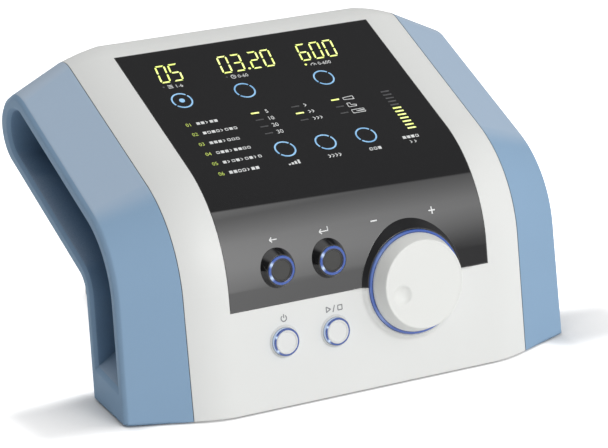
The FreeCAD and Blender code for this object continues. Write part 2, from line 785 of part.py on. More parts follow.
fan_back = rear_y - rear_wall
fan_front = fan_back - fan_deep


def fan_frame():
    body = box(fan_x - fan_half, fan_x + fan_half, fan_front, fan_back, fan_z - fan_half, fan_z + fan_half)
    body = body.cut(y_rod(fan_x, fan_z, 28.0, fan_front - 1, fan_back + 1))
    body = body.fuse(y_rod(fan_x, fan_z, 11.0, fan_front, fan_front + 2.5))
    for i in range(4):
        arm = box(fan_x + 9, fan_x + 28.5, fan_front, fan_front + 2.5, fan_z - 1.5, fan_z + 1.5)
        arm.rotate(V(fan_x, 0, fan_z), V(0, 1, 0), 45 + 90 * i)
        body = body.fuse(arm)
    return body.fuse(y_rod(fan_x, fan_z, 1.5, fan_front, fan_front + 10)).removeSplitter()


def fan_rotor():
    y0, y1 = fan_front + 3.0, fan_back - 1.5
    body = y_rod(fan_x, fan_z, 12.0, y0, y1)
    for i in range(7):
        blade = box(fan_x + 11, fan_x + 26.8, -0.6, 0.6, -6.5, 6.5)
        blade.rotate(V(fan_x, 0, 0), V(1, 0, 0), 45)
        blade.translate(V(0, (y0 + y1) / 2, fan_z))
        blade.rotate(V(fan_x, 0, fan_z), V(0, 1, 0), 360.0 / 7 * i)
        body = body.fuse(blade)
    return body.cut(y_rod(fan_x, fan_z, 1.55, y0 - 1, fan_front + 10.3)).removeSplitter()


# ---- compressor, power supply and main board on the base plate ----
pump_x, pump_y, pump_z = -41.0, front_y + 138.0, 48.0
mount_height, bracket_thick = 10.0, 2.0
head_wide, head_deep, head_tall = 22.0, 46.0, 56.0
motor_radius, motor_long = 24.0, 50.0
supply_x = pump_x + motor_long / 2 + head_wide / 2


def compressor_motor():
    x0 = pump_x - motor_long / 2
    body = x_rod(pump_y, pump_z, motor_radius, x0, x0 + motor_long)
    foot = box(x0 + 6, x0 + motor_long - 6, pump_y - 18, pump_y + 18, bracket_top, pump_z - 12)
    return body.fuse(foot).removeSplitter()


bracket_top = base_top + mount_height + bracket_thick


def compressor_head(side):
    x0 = pump_x + side * (motor_long / 2 + head_wide / 2) - head_wide / 2
    y0 = pump_y - head_deep / 2
    body = box(x0, x0 + head_wide, y0, y0 + head_deep, bracket_top + 2, bracket_top + 2 + head_tall)
    top = bracket_top + 2 + head_tall
    centre = x0 + head_wide / 2
    body = body.fuse(z_rod(centre, pump_y, 8.5, top, top + 5))
    return body.fuse(z_rod(centre, pump_y, 3.0, top + 5, top + 13))


def compressor_bracket():
    low = base_top + mount_height
    return box(pump_x - 50, pump_x + 50, pump_y - 30, pump_y + 30, low, bracket_top)


def compressor_mounts():
    blocks = []
    for x in (pump_x - 42, pump_x + 42):
        for y in (pump_y - 23, pump_y + 23):
            blocks.append(box(x - 6, x + 6, y - 6, y + 6, base_top, base_top + mount_height))
    return Part.makeCompound(blocks)


def supply_hose():
    """A riser from the head, an elbow and a level run into the valve block."""
    top = bracket_top + 2 + head_tall + 13.0
    elbow = box(supply_x - 6, supply_x + 6, pump_y - 6, pump_y + 6, port_z - 6, port_z + 6)
    riser = z_rod(supply_x, pump_y, 4.0, top, port_z - 6)
    return fuse([elbow, riser, y_rod(supply_x, port_z, 4.0, pump_y + 6, manifold_front)])


board_x0, board_x1 = 15.0, 89.0
board_y0, board_y1 = front_y + 80.0, front_y + 176.0
psu_z, main_z = 11.0, 66.0


def psu_board():
    return box(board_x0, board_x1, board_y0, board_y1, psu_z, psu_z + board_thick)


def psu_parts():
    z0 = psu_z + board_thick
    parts = [box(board_x0 + 20, board_x0 + 52, board_y0 + 38, board_y0 + 66, z0, z0 + 28),
             box(board_x0 + 8, board_x0 + 11, board_y0 + 14, board_y0 + 80, z0, z0 + 30),
             box(board_x1 - 14, board_x1 - 11, board_y0 + 14, board_y0 + 50, z0, z0 + 30),
             z_rod(board_x0 + 26, board_y0 + 20, 9.0, z0, z0 + 30),
             z_rod(board_x0 + 48, board_y0 + 20, 9.0, z0, z0 + 30)]
    return Part.makeCompound(parts)


def main_board():
    return box(board_x0, board_x1, board_y0, board_y1, main_z, main_z + board_thick)


def main_board_parts():
    z0 = main_z + board_thick
    parts = [box(board_x0 + 24, board_x0 + 44, board_y0 + 30, board_y0 + 50, z0, z0 + 2),
             box(board_x0 + 8, board_x0 + 48, board_y0 + 84, board_y0 + 92, z0, z0 + 9),
             box(board_x0 + 8, board_x0 + 40, board_y0 + 4, board_y0 + 10, z0, z0 + 9),
             box(board_x1 - 18, board_x1 - 6, board_y0 + 50, board_y0 + 62, z0, z0 + 7)]
    return Part.makeCompound(parts)


def hex_post(x, y, z0, z1):
    corners = [V(x + 3.0 * cos(radians(a)), y + 3.0 * sin(radians(a)), z0) for a in range(0, 360, 60)]
    return Part.Face(Part.makePolygon(corners + corners[:1])).extrude(V(0, 0, z1 - z0))


def board_standoffs():
    posts = []
    for x in (board_x0 + 4, board_x1 - 4):
        for y in (board_y0 + 4, board_y1 - 4):
            posts.append(hex_post(x, y, base_top, psu_z))
            posts.append(hex_post(x, y, psu_z + board_thick, main_z))
    return Part.makeCompound(posts)


nodes = {}


def build():
    nodes["front_cover"] = front_cover()
    nodes["control_panel"] = control_panel()
    nodes["side_cover_right"] = side_cover_right()
    nodes["side_cover_left"] = mirror(nodes["side_cover_right"])
    for name, (x, up, kind) in buttons.items():
        nodes[name + "_button"] = button_cap(x, up, kind)
        nodes[name + "_light_ring"] = light_ring(x, up, kind)
        if kind is dark_button:
            nodes[name + "_bezel"] = button_bezel(x, up, kind)
    nodes["knob"] = knob()
    nodes["knob_light_ring"] = knob_light_ring()
    nodes["encoder_body"] = encoder_body()
    nodes["encoder_shaft"] = encoder_shaft()
    nodes["encoder_nut"] = encoder_nut()
    nodes["button_board"] = button_board()
    nodes["push_switches"] = push_switches()
    nodes["display_board"] = display_board()
    nodes["program_display"] = display_module(-77, -51, 239, 262)
    nodes["time_display"] = display_module(-31, 15, 239, 262)
    nodes["power_display"] = display_module(27, 62, 239, 262)
    nodes["bar_display"] = display_module(62, 76, 163, 205)
    nodes["touch_electrodes"] = touch_electrodes()
    nodes["rear_cover"] = rear_cover()
    nodes["base_plate"] = base_plate()
    nodes["base_screws"] = base_screws()
    nodes["rubber_feet"] = rubber_feet()
    nodes["hose_port_left"] = hose_port(-port_x)
    nodes["hose_port_right"] = hose_port(port_x)
    nodes["outlet_hoses"] = outlet_hoses()
    nodes["valve_manifold"] = valve_manifold()
    nodes["solenoid_valves"] = solenoid_valves()
    nodes["manifold_posts"] = manifold_posts()
    nodes["mains_inlet"] = mains_inlet()
    nodes["inlet_pins"] = inlet_pins()
    nodes["mains_rocker"] = mains_rocker()
    nodes["fuse_drawer"] = fuse_drawer()
    nodes["fan_frame"] = fan_frame()
    nodes["fan_rotor"] = fan_rotor()
    nodes["compressor_motor"] = compressor_motor()
    nodes["compressor_head_left"] = compressor_head(-1)
    nodes["compressor_head_right"] = compressor_head(1)
    nodes["compressor_bracket"] = compressor_bracket()
    nodes["compressor_mounts"] = compressor_mounts()
    nodes["supply_hose"] = supply_hose()
    nodes["power_supply_board"] = psu_board()
    nodes["power_supply_parts"] = psu_parts()
    nodes["main_board"] = main_board()
    nodes["main_board_parts"] = main_board_parts()
    nodes["board_standoffs"] = board_standoffs()


build()
os.makedirs("parts", exist_ok=True)
for name, shape in nodes.items():
    shape.exportStep("parts/" + name + ".step")
    size = shape.optimalBoundingBox()
    print(name, shape.isValid(), len(shape.Solids), round(shape.Volume / 1000, 1), "cm3",
          [round(v, 1) for v in (size.XMin, size.YMin, size.ZMin, size.XMax, size.YMax, size.ZMax)])
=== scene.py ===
import bmesh
import bpy
from math import atan2, cos, degrees, pi, radians, sin, sqrt
from mathutils import Matrix, Vector


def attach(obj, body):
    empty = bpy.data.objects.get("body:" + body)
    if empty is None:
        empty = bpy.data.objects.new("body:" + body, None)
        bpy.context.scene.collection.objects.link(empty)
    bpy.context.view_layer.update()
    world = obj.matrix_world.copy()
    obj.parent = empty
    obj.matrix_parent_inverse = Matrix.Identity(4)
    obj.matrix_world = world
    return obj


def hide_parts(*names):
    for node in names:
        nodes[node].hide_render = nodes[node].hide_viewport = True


# Compression therapy pump: white folded front, blue side covers, a dark touch panel, a large knob.
# X to the user's right, Y to the back, Z up. Sizes are millimetres until a point is placed.
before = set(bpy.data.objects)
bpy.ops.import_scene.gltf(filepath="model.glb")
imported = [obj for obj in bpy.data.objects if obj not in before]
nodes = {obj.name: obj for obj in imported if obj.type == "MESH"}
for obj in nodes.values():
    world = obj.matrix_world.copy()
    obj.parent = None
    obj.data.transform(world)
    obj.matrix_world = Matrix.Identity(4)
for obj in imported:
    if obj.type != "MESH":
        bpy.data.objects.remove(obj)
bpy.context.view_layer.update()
mm = 0.001
print("frame loaded:", len(nodes), "nodes")

knobPlace = (36.3, 62.6)         # across, and up the lower face

# the line of the front, seen from the side: lower face, bend, deck
frontLine = {
    "start": (-126.3, 1.5),      # foot of the lower face, y and z
    "lean": 9.5,                 # lower face, degrees from upright
    "slope": 24.5,               # deck, degrees from level
    "deckPoint": (-27.8, 158.9),
    "bendRadius": 88.0,
    "crestStart": 276.9,         # where the crest begins, up the front
    "crestTurn": 2.5,            # its turn, degrees per millimetre
    "length": 302,               # from the foot to behind the crest
}


def facing(angle):
    return Vector((-cos(radians(angle)), sin(radians(angle))))


def upward(angle):
    return Vector((sin(radians(angle)), cos(radians(angle))))


def solveFront():
    line = frontLine
    low, deck = facing(line["lean"]), facing(90 - line["slope"])
    start, deckPoint, radius = Vector(line["start"]), Vector(line["deckPoint"]), line["bendRadius"]
    a, b = low.dot(start) - radius, deck.dot(deckPoint) - radius
    det = low.x * deck.y - low.y * deck.x
    centre = Vector(((a * deck.y - b * low.y) / det, (low.x * b - deck.x * a) / det))
    faceEnd = centre + low * radius
    line["centre"] = centre
    line["bendStart"] = (faceEnd - start).dot(upward(line["lean"]))
    line["bendEnd"] = line["bendStart"] + radius * radians(90 - line["slope"] - line["lean"])


solveFront()


def frontAngle(s):
    turned = degrees((s - frontLine["bendStart"]) / frontLine["bendRadius"])
    return frontLine["lean"] + min(max(turned, 0), 90 - frontLine["slope"] - frontLine["lean"])


def onFront(x, s, out=0.0):
    # a point at distance s up the front from its foot, raised by out
    angle = frontAngle(s)
    if s < frontLine["bendStart"]:
        flat = Vector(frontLine["start"]) + upward(angle) * s + facing(angle) * out
    else:
        flat = frontLine["centre"] + facing(angle) * (frontLine["bendRadius"] + out)
        flat += upward(angle) * max(s - frontLine["bendEnd"], 0)
    return Vector((x, flat.x, flat.y)) * mm


def onFace(x, up, out):
    # controls stand square to the lower face, also where the front has begun to bend
    flat = Vector(frontLine["start"]) + upward(frontLine["lean"]) * up + facing(frontLine["lean"]) * out
    return Vector((x, flat.x, flat.y)) * mm


# shader helpers
def addNode(tree, kind, **settings):
    node = tree.nodes.new(kind)
    for key, value in settings.items():
        setattr(node, key, value)
    return node


def calc(tree, operation, first, second=None, clamp=False):
    node = addNode(tree, "ShaderNodeMath", operation=operation, use_clamp=clamp)
    for socket, value in zip(node.inputs, (first, second)):
        if value is None:
            continue
        if isinstance(value, (int, float)):
            socket.default_value = value
        else:
            tree.links.new(value, socket)
    return node.outputs[0]


def blendColor(tree, factor, first, second, mode="MIX"):
    node = addNode(tree, "ShaderNodeMix", data_type="RGBA", blend_type=mode)
    for socket, value in zip((node.inputs[0], node.inputs[6], node.inputs[7]), (factor, first, second)):
        if isinstance(value, (int, float, tuple)):
            socket.default_value = value
        else:
            tree.links.new(value, socket)
    return node.outputs[2]


def spread(tree, value, low, high, newLow=0.0, newHigh=1.0, smooth=False):
    node = addNode(tree, "ShaderNodeMapRange", interpolation_type="SMOOTHSTEP" if smooth else "LINEAR")
    tree.links.new(value, node.inputs["Value"])
    for socket, number in zip(node.inputs[1:5], (low, high, newLow, newHigh)):
        socket.default_value = number
    return node.outputs[0]


def noise(tree, place, scale, detail=2.0, rough=0.5):
    node = addNode(tree, "ShaderNodeTexNoise")
    tree.links.new(place, node.inputs["Vector"])
    if isinstance(scale, (int, float)):
        node.inputs["Scale"].default_value = scale
    else:
        tree.links.new(scale, node.inputs["Scale"])
    node.inputs["Detail"].default_value = detail
    node.inputs["Roughness"].default_value = rough
    return node.outputs["Fac"]


def startGroup(name, inputs, outputs):
    tree = bpy.data.node_groups.new(name, "ShaderNodeTree")
    for label, kind, value in inputs:
        socket = tree.interface.new_socket(label, in_out="INPUT", socket_type="NodeSocket" + kind)
        socket.default_value = value
    for label, kind in outputs:
        tree.interface.new_socket(label, in_out="OUTPUT", socket_type="NodeSocket" + kind)
    return tree, addNode(tree, "NodeGroupInput").outputs, addNode(tree, "NodeGroupOutput").inputs


def placeGroup(tree, group, **values):
    node = addNode(tree, "ShaderNodeGroup", node_tree=group)
    for label, value in values.items():
        socket = node.inputs[label]
        if isinstance(value, (int, float, tuple)):
            socket.default_value = value
        else:
            tree.links.new(value, socket)
    return node.outputs


# effects that several finishes share
def makeMouldedSkin():
    # fine texture of a moulded or painted skin, with slow changes of tone and gloss
    tree, given, result = startGroup(
        "mouldedSkin",
        [("Color", "Color", (0.8, 0.8, 0.8, 1)), ("Grain", "Float", 2500.0), ("Tone", "Float", 0.04),
         ("Gloss", "Float", 0.4), ("GlossSpread", "Float", 0.08)],
        [("Color", "Color"), ("Roughness", "Float"), ("Height", "Float")])
    place = addNode(tree, "ShaderNodeTexCoord").outputs["Object"]
    broad = noise(tree, place, 14.0, 3.0)
    fine = noise(tree, place, given["Grain"], 2.0, 0.6)
    middle = noise(tree, place, 160.0, 4.0, 0.6)
    swing = calc(tree, "MULTIPLY", calc(tree, "SUBTRACT", broad, 0.5), given["Tone"])
    grainTone = calc(tree, "MULTIPLY", calc(tree, "SUBTRACT", fine, 0.5), given["Tone"])
    lift = calc(tree, "ADD", calc(tree, "ADD", swing, grainTone), 1.0)
    scale = addNode(tree, "ShaderNodeVectorMath", operation="SCALE")
    tree.links.new(given["Color"], scale.inputs[0])
    tree.links.new(lift, scale.inputs["Scale"])
    tree.links.new(scale.outputs[0], result["Color"])
    change = calc(tree, "MULTIPLY", calc(tree, "SUBTRACT", middle, 0.5), given["GlossSpread"])
    tree.links.new(calc(tree, "ADD", given["Gloss"], change, clamp=True), result["Roughness"])
    tree.links.new(fine, result["Height"])
    return tree


def makeSoftEdge():
    # turns the normal over at an edge, and gives a mask of the edges
    tree, given, result = startGroup("softEdge", [("Radius", "Float", 0.0006)],
                                     [("Normal", "Vector"), ("Edge", "Float")])
    bevel = addNode(tree, "ShaderNodeBevel", samples=6)
    tree.links.new(given["Radius"], bevel.inputs["Radius"])
    plain = addNode(tree, "ShaderNodeNewGeometry").outputs["Normal"]
    dot = addNode(tree, "ShaderNodeVectorMath", operation="DOT_PRODUCT")
    tree.links.new(bevel.outputs[0], dot.inputs[0])
    tree.links.new(plain, dot.inputs[1])
    tree.links.new(bevel.outputs[0], result["Normal"])
    away = calc(tree, "SUBTRACT", 1.0, dot.outputs["Value"])
    tree.links.new(spread(tree, away, 0.02, 0.25, smooth=True), result["Edge"])
    return tree


def makeRubbedEdge():
    # colour rubbed lighter or darker along the edges that hands and cloths reach
    tree, given, result = startGroup(
        "rubbedEdge",
        [("Color", "Color", (0.5, 0.5, 0.5, 1)), ("Rubbed", "Color", (0.9, 0.9, 0.9, 1)),
         ("Edge", "Float", 0.0), ("Amount", "Float", 0.3)],
        [("Color", "Color")])
    place = addNode(tree, "ShaderNodeTexCoord").outputs["Object"]
    patches = spread(tree, noise(tree, place, 90.0, 5.0, 0.65), 0.35, 0.75)
    mask = calc(tree, "MULTIPLY", calc(tree, "MULTIPLY", given["Edge"], patches), given["Amount"], clamp=True)
    tree.links.new(blendColor(tree, mask, given["Color"], given["Rubbed"]), result["Color"])
    return tree


def makeSettledDust():
    # a thin dust on what faces up, and a painted sheen, an even lightening of the faces that look up most
    tree, given, result = startGroup(
        "settledDust",
        [("Color", "Color", (0.5, 0.5, 0.5, 1)), ("Dust", "Color", (0.6, 0.58, 0.55, 1)),
         ("Amount", "Float", 0.05), ("Fade", "Float", 0.0)],
        [("Color", "Color")])
    place = addNode(tree, "ShaderNodeTexCoord").outputs["Object"]
    split = addNode(tree, "ShaderNodeSeparateXYZ")
    tree.links.new(addNode(tree, "ShaderNodeNewGeometry").outputs["Normal"], split.inputs[0])
    up = spread(tree, split.outputs["Z"], 0.2, 1.0, smooth=True)
    # painted sheen: the faces that look up most are lightened towards the pale colour
    top = spread(tree, split.outputs["Z"], 0.74, 0.91, smooth=True)
    flecks = spread(tree, noise(tree, place, 700.0, 3.0, 0.7), 0.5, 0.8)
    mask = calc(tree, "ADD", calc(tree, "MULTIPLY", calc(tree, "MULTIPLY", up, flecks), given["Amount"]),
                calc(tree, "MULTIPLY", top, given["Fade"]), clamp=True)
    tree.links.new(blendColor(tree, mask, given["Color"], given["Dust"]), result["Color"])
    return tree


def makePaintedShade(name, ownOnly):
    # painted shade: colour that darkens inside hollows and turns towards a tint there, of this piece alone or
    # between pieces
    tree, given, result = startGroup(
        name, [("Color", "Color", (0.5, 0.5, 0.5, 1)), ("Tint", "Color", (1, 1, 1, 1)),
               ("Reach", "Float", 0.05), ("Depth", "Float", 1.0)],
        [("Color", "Color"), ("Open", "Float")])
    shadeInHollows = addNode(tree, "ShaderNodeAmbientOcclusion", samples=8, only_local=ownOnly)
    tree.links.new(given["Reach"], shadeInHollows.inputs["Distance"])
    share = calc(tree, "POWER", shadeInHollows.outputs["AO"], given["Depth"])
    scale = addNode(tree, "ShaderNodeVectorMath", operation="SCALE")
    tint = blendColor(tree, share, given["Tint"], (1, 1, 1, 1))
    tinted = blendColor(tree, 1.0, given["Color"], tint, "MULTIPLY")
    tree.links.new(tinted, scale.inputs[0])
    tree.links.new(share, scale.inputs["Scale"])
    tree.links.new(scale.outputs[0], result["Color"])
    tree.links.new(spread(tree, shadeInHollows.outputs["AO"], 0.5, 0.95), result["Open"])
    return tree


skinGroup = makeMouldedSkin()
edgeGroup = makeSoftEdge()
rubGroup = makeRubbedEdge()
dustSheenGroup = makeSettledDust()
hollowShadeGroup = makePaintedShade("hollowShade", True)
seamShadeGroup = makePaintedShade("seamShade", False)
print("shader groups built")


def tone(red, green, blue):
    # a colour given as it is seen on a screen, 0 to 255
    channels = []
    for value in (red, green, blue):
        part = value / 255
        channels.append(part / 12.92 if part <= 0.04045 else ((part + 0.055) / 1.055) ** 2.4)
    return (*channels, 1.0)


def startMaterial(name):
    material = bpy.data.materials.new(name)
    material.use_nodes = True
    tree = material.node_tree
    return material, tree, tree.nodes["Principled BSDF"]


def finishOf(name, look):
    # moulded, painted or machined surface: skin texture, rubbed edges, a little dust,
    # and where a look asks, painted shade in hollows and a painted sheen on faces that look up
    material, tree, shader = startMaterial(name)
    radius = look.get("round", 0.4) * mm
    reach, depth = look.get("shadeInHollows", (0, 0))
    if "broadBeyond" in look:
        # wider rounding past a distance to the side
        start, end, broad = look["broadBeyond"]
        split = addNode(tree, "ShaderNodeSeparateXYZ")
        tree.links.new(addNode(tree, "ShaderNodeTexCoord").outputs["Object"], split.inputs[0])
        aside = calc(tree, "ABSOLUTE", split.outputs["X"])
        radius = spread(tree, aside, start * mm, end * mm, radius, broad * mm)
    elif "broadNear" in look:
        # wider rounding, and no painted shade in hollows, round a point
        centre, near, broad = look["broadNear"]
        far = near + 4
        apart = addNode(tree, "ShaderNodeVectorMath", operation="DISTANCE")
        tree.links.new(addNode(tree, "ShaderNodeTexCoord").outputs["Object"], apart.inputs[0])
        apart.inputs[1].default_value = centre
        radius = spread(tree, apart.outputs["Value"], near * mm, far * mm, broad * mm, radius)
        depth = spread(tree, apart.outputs["Value"], near * mm, far * mm, 0.0, depth)
    edge = placeGroup(tree, edgeGroup, Radius=radius)
    skin = placeGroup(tree, skinGroup, Color=look["color"], Grain=look.get("grain", 2500.0),
                      Tone=look.get("tone", 0.04), Gloss=look["gloss"],
                      GlossSpread=look.get("glossSpread", 0.08))
    rubbed = placeGroup(tree, rubGroup, Color=skin["Color"], Rubbed=look.get("rubbed", (0.9, 0.9, 0.9, 1)),
                        Edge=edge["Edge"], Amount=look.get("wear", 0.2))
    # fade is the strength of the painted sheen
    color, fade = rubbed["Color"], look.get("fade", 0.0)
    if "shadeInHollows" in look:
        # painted shade: deeper colour inside hollows, and no painted sheen there
        shaded = placeGroup(tree, hollowShadeGroup if "deep" in look else seamShadeGroup, Color=color,
                            Tint=look.get("deep", (1, 1, 1, 1)), Reach=reach * mm, Depth=depth)
        color, fade = shaded["Color"], calc(tree, "MULTIPLY", shaded["Open"], fade)
    dusted = placeGroup(tree, dustSheenGroup, Color=color, Dust=look.get("dustAndSheenColor", (0.62, 0.6, 0.57, 1)),
                        Amount=look.get("dusty", 0.04), Fade=fade)
    tree.links.new(dusted["Color"], shader.inputs["Base Color"])
    tree.links.new(skin["Roughness"], shader.inputs["Roughness"])
    bump = addNode(tree, "ShaderNodeBump")
    bump.inputs["Strength"].default_value = look.get("relief", 0.12)
    bump.inputs["Distance"].default_value = 0.02 * mm
    tree.links.new(skin["Height"], bump.inputs["Height"])
    tree.links.new(edge["Normal"], bump.inputs["Normal"])
    tree.links.new(bump.outputs["Normal"], shader.inputs["Normal"])
    shader.inputs["IOR"].default_value = look.get("ior", 1.46)
    shader.inputs["Specular IOR Level"].default_value = look.get("shine", 0.5)
    shader.inputs["Metallic"].default_value = look.get("metal", 0.0)
    shader.inputs["Coat Weight"].default_value = look.get("coat", 0.0)
    shader.inputs["Coat Roughness"].default_value = look.get("coatGloss", 0.1)
    return material


looks = {
    # painted shade: the white shell darkens in its seams and gaps, the blue shell in its grip recesses,
    # tinted bluer
    "whiteShell": {"color": tone(229, 230, 228), "gloss": 0.42, "tone": 0.025, "grain": 1800.0,
                   "round": 0.5, "wear": 0.1, "rubbed": tone(240, 240, 238), "dusty": 0.03,
                   "broadNear": (onFace(*knobPlace, 0), 42.0, 4.0), "shadeInHollows": (1.2, 1.4)},
    # the blue shell's fade is a painted sheen on faces that look up, in its pale dust colour
    "blueShell": {"color": tone(143, 172, 200), "gloss": 0.40, "tone": 0.05, "grain": 1500.0,
                  "round": 0.6, "wear": 0.12, "rubbed": tone(180, 204, 226), "dusty": 0.03,
                  "broadBeyond": (126.0, 134.0, 2.6), "shadeInHollows": (42.0, 0.8), "fade": 0.39,
                  "ior": 1.33, "shine": 0.06, "deep": (0.8, 0.98, 1.16, 1), "dustAndSheenColor": tone(224, 228, 234)},
    "panelBlack": {"color": tone(24, 24, 26), "gloss": 0.02, "tone": 0.3, "glossSpread": 0.02,
                   "relief": 0.0, "round": 0.3, "ior": 2.15, "wear": 0.1, "dusty": 0.006},
    "bezelBlack": {"color": tone(20, 20, 22), "gloss": 0.07, "tone": 0.2, "relief": 0.01,
                   "round": 0.4, "ior": 1.7, "wear": 0.2, "rubbed": tone(90, 90, 92), "dusty": 0.01},
    "seatBlack": {"color": tone(30, 30, 32), "gloss": 0.45, "tone": 0.15, "ior": 1.35, "round": 0.5,
                  "wear": 0.0, "dusty": 0.01},
    "capDark": {"color": tone(57, 57, 56), "gloss": 0.45, "tone": 0.08, "grain": 3000.0,
                "round": 0.3, "wear": 0.2, "rubbed": tone(110, 112, 114)},
    "capWhite": {"color": tone(228, 229, 228), "gloss": 0.36, "tone": 0.02, "round": 0.3, "wear": 0.0},
    "knobWhite": {"color": tone(232, 233, 230), "gloss": 0.38, "tone": 0.02, "grain": 2200.0,
                  "round": 0.4, "wear": 0.05, "dusty": 0.02},
    "rearGrey": {"color": tone(205, 206, 204), "gloss": 0.5, "tone": 0.04, "grain": 1400.0,
                 "relief": 0.25, "round": 0.6, "wear": 0.1},
    "baseGrey": {"color": tone(120, 122, 124), "gloss": 0.6, "tone": 0.08, "relief": 0.3},
    "rubber": {"color": tone(32, 32, 33), "gloss": 0.8, "tone": 0.2, "relief": 0.4, "dusty": 0.1},
    "blackPlastic": {"color": tone(28, 28, 30), "gloss": 0.5, "tone": 0.12, "relief": 0.2,
                     "wear": 0.25, "rubbed": tone(70, 70, 72)},
    "boardGreen": {"color": tone(28, 92, 58), "gloss": 0.35, "tone": 0.2, "wear": 0.4,
                   "rubbed": tone(150, 140, 90)},
    "displayGrey": {"color": tone(60, 62, 66), "gloss": 0.3, "tone": 0.1},
    "steel": {"color": tone(186, 188, 190), "gloss": 0.28, "metal": 1.0, "tone": 0.06, "wear": 0.2},
    "aluminium": {"color": tone(196, 198, 200), "gloss": 0.4, "metal": 1.0, "tone": 0.08,
                  "relief": 0.3, "wear": 0.3},
    "brass": {"color": tone(200, 168, 96), "gloss": 0.3, "metal": 1.0, "tone": 0.1, "wear": 0.3},
    "hose": {"color": tone(200, 204, 208), "gloss": 0.3, "tone": 0.06},
    "copperCoil": {"color": tone(150, 84, 52), "gloss": 0.35, "metal": 0.6, "tone": 0.2},
}
finishes = {name: finishOf(name, look) for name, look in looks.items()}
print("finishes built:", len(finishes))


# lit parts: blue light guides, display segments
def guideFinish(name, look):
    # a glossy guide with a faint glow of its own, painted shade at its rims and in its groove,
    # and painted highlights, bright glowing spots at given angles
    material, tree, shader = startMaterial(name)
    rim = addNode(tree, "ShaderNodeAttribute", attribute_name="rim").outputs["Fac"]
    lamp = addNode(tree, "ShaderNodeAttribute", attribute_name="lamp").outputs["Fac"]
    color = blendColor(tree, rim, look["color"], look["edge"])
    color = blendColor(tree, lamp, color, look["bright"])
    tree.links.new(color, shader.inputs["Base Color"])
    tree.links.new(blendColor(tree, lamp, look["faint"], look["bright"]), shader.inputs["Emission Color"])
    shader.inputs["Emission Strength"].default_value = look["glow"]
    shader.inputs["Roughness"].default_value = look["gloss"]
    shader.inputs["Coat Weight"].default_value = look["coat"]
    shader.inputs["Coat Roughness"].default_value = look["coatGloss"]
    return material


def litFinish(name, look):
    # print, digits and touch circles: one slightly clouded colour that may glow
    material, tree, shader = startMaterial(name)
    place = addNode(tree, "ShaderNodeTexCoord").outputs["Object"]
    cloud = spread(tree, noise(tree, place, look["patch"], 2.0), 0.38, 0.62, smooth=True)
    color = blendColor(tree, cloud, look["color"], look["bright"])
    tree.links.new(color, shader.inputs["Base Color"])
    tree.links.new(color, shader.inputs["Emission Color"])
    shader.inputs["Emission Strength"].default_value = look["glow"]
    shader.inputs["Roughness"].default_value = look["gloss"]
    return material


# edge is the colour of the painted shade at the rims; bright is that of the painted highlights and of the
# painted light on low walls
finishes["lightGuide"] = guideFinish("lightGuide", {
    "color": tone(56, 90, 172), "edge": tone(20, 34, 88), "bright": tone(194, 214, 242),
    "faint": tone(28, 48, 96), "glow": 0.35, "gloss": 0.2, "coat": 0.5, "coatGloss": 0.05})
finishes["touchBlue"] = litFinish("touchBlue", {
    "color": tone(118, 164, 204), "bright": tone(140, 184, 220), "patch": 120.0, "glow": 0.5, "gloss": 0.3})
finishes["segmentLit"] = litFinish("segmentLit", {
    "color": tone(222, 238, 126), "bright": tone(238, 248, 160), "patch": 200.0, "glow": 0.75, "gloss": 0.3})
finishes["numberLit"] = litFinish("numberLit", {
    "color": tone(170, 190, 90), "bright": tone(190, 206, 104), "patch": 200.0, "glow": 0.3, "gloss": 0.3})
finishes["segmentDim"] = litFinish("segmentDim", {
    "color": tone(84, 84, 86), "bright": tone(96, 96, 98), "patch": 200.0, "glow": 0.02, "gloss": 0.3})
# the white print glows a little: painted light
finishes["inkWhite"] = litFinish("inkWhite", {
    "color": tone(214, 216, 216), "bright": tone(230, 231, 231), "patch": 300.0, "glow": 0.1, "gloss": 0.5})
finishes["inkGrey"] = litFinish("inkGrey", {
    "color": tone(112, 114, 118), "bright": tone(124, 126, 130), "patch": 300.0, "glow": 0.0, "gloss": 0.5})

nodeFinish = {
    "whiteShell": ["front_cover"],
    "blueShell": ["side_cover_left", "side_cover_right"],
    "panelBlack": ["control_panel"],
    "bezelBlack": ["esc_bezel", "enter_bezel"],
    "capDark": ["esc_button", "enter_button"],
    "capWhite": ["on_off_button", "start_stop_button"],
    "knobWhite": ["knob"],
    "lightGuide": ["esc_light_ring", "enter_light_ring", "on_off_light_ring", "start_stop_light_ring",
                   "knob_light_ring"],
    "rearGrey": ["rear_cover"],
    "baseGrey": ["base_plate"],
    "rubber": ["rubber_feet", "compressor_mounts"],
    "blackPlastic": ["hose_port_left", "hose_port_right", "mains_inlet", "mains_rocker", "fuse_drawer",
                     "fan_frame", "fan_rotor", "push_switches", "valve_manifold", "power_supply_parts",
                     "main_board_parts"],
    "boardGreen": ["button_board", "display_board", "power_supply_board", "main_board"],
    "displayGrey": ["program_display", "time_display", "power_display", "bar_display"],
    "steel": ["base_screws", "encoder_shaft", "encoder_nut", "compressor_bracket", "inlet_pins"],
    "aluminium": ["compressor_motor", "compressor_head_left", "compressor_head_right", "encoder_body"],
    "brass": ["board_standoffs", "manifold_posts", "touch_electrodes"],
    "hose": ["supply_hose", "outlet_hoses"],
    "copperCoil": ["solenoid_valves"],
}
for finish, names in nodeFinish.items():
    for name in names:
        slots = nodes[name].data.materials
        for index in range(len(slots)):
            slots[index] = finishes[finish]


seat = {"radius": 46.0, "flat": 0.975, "low": -9.0}


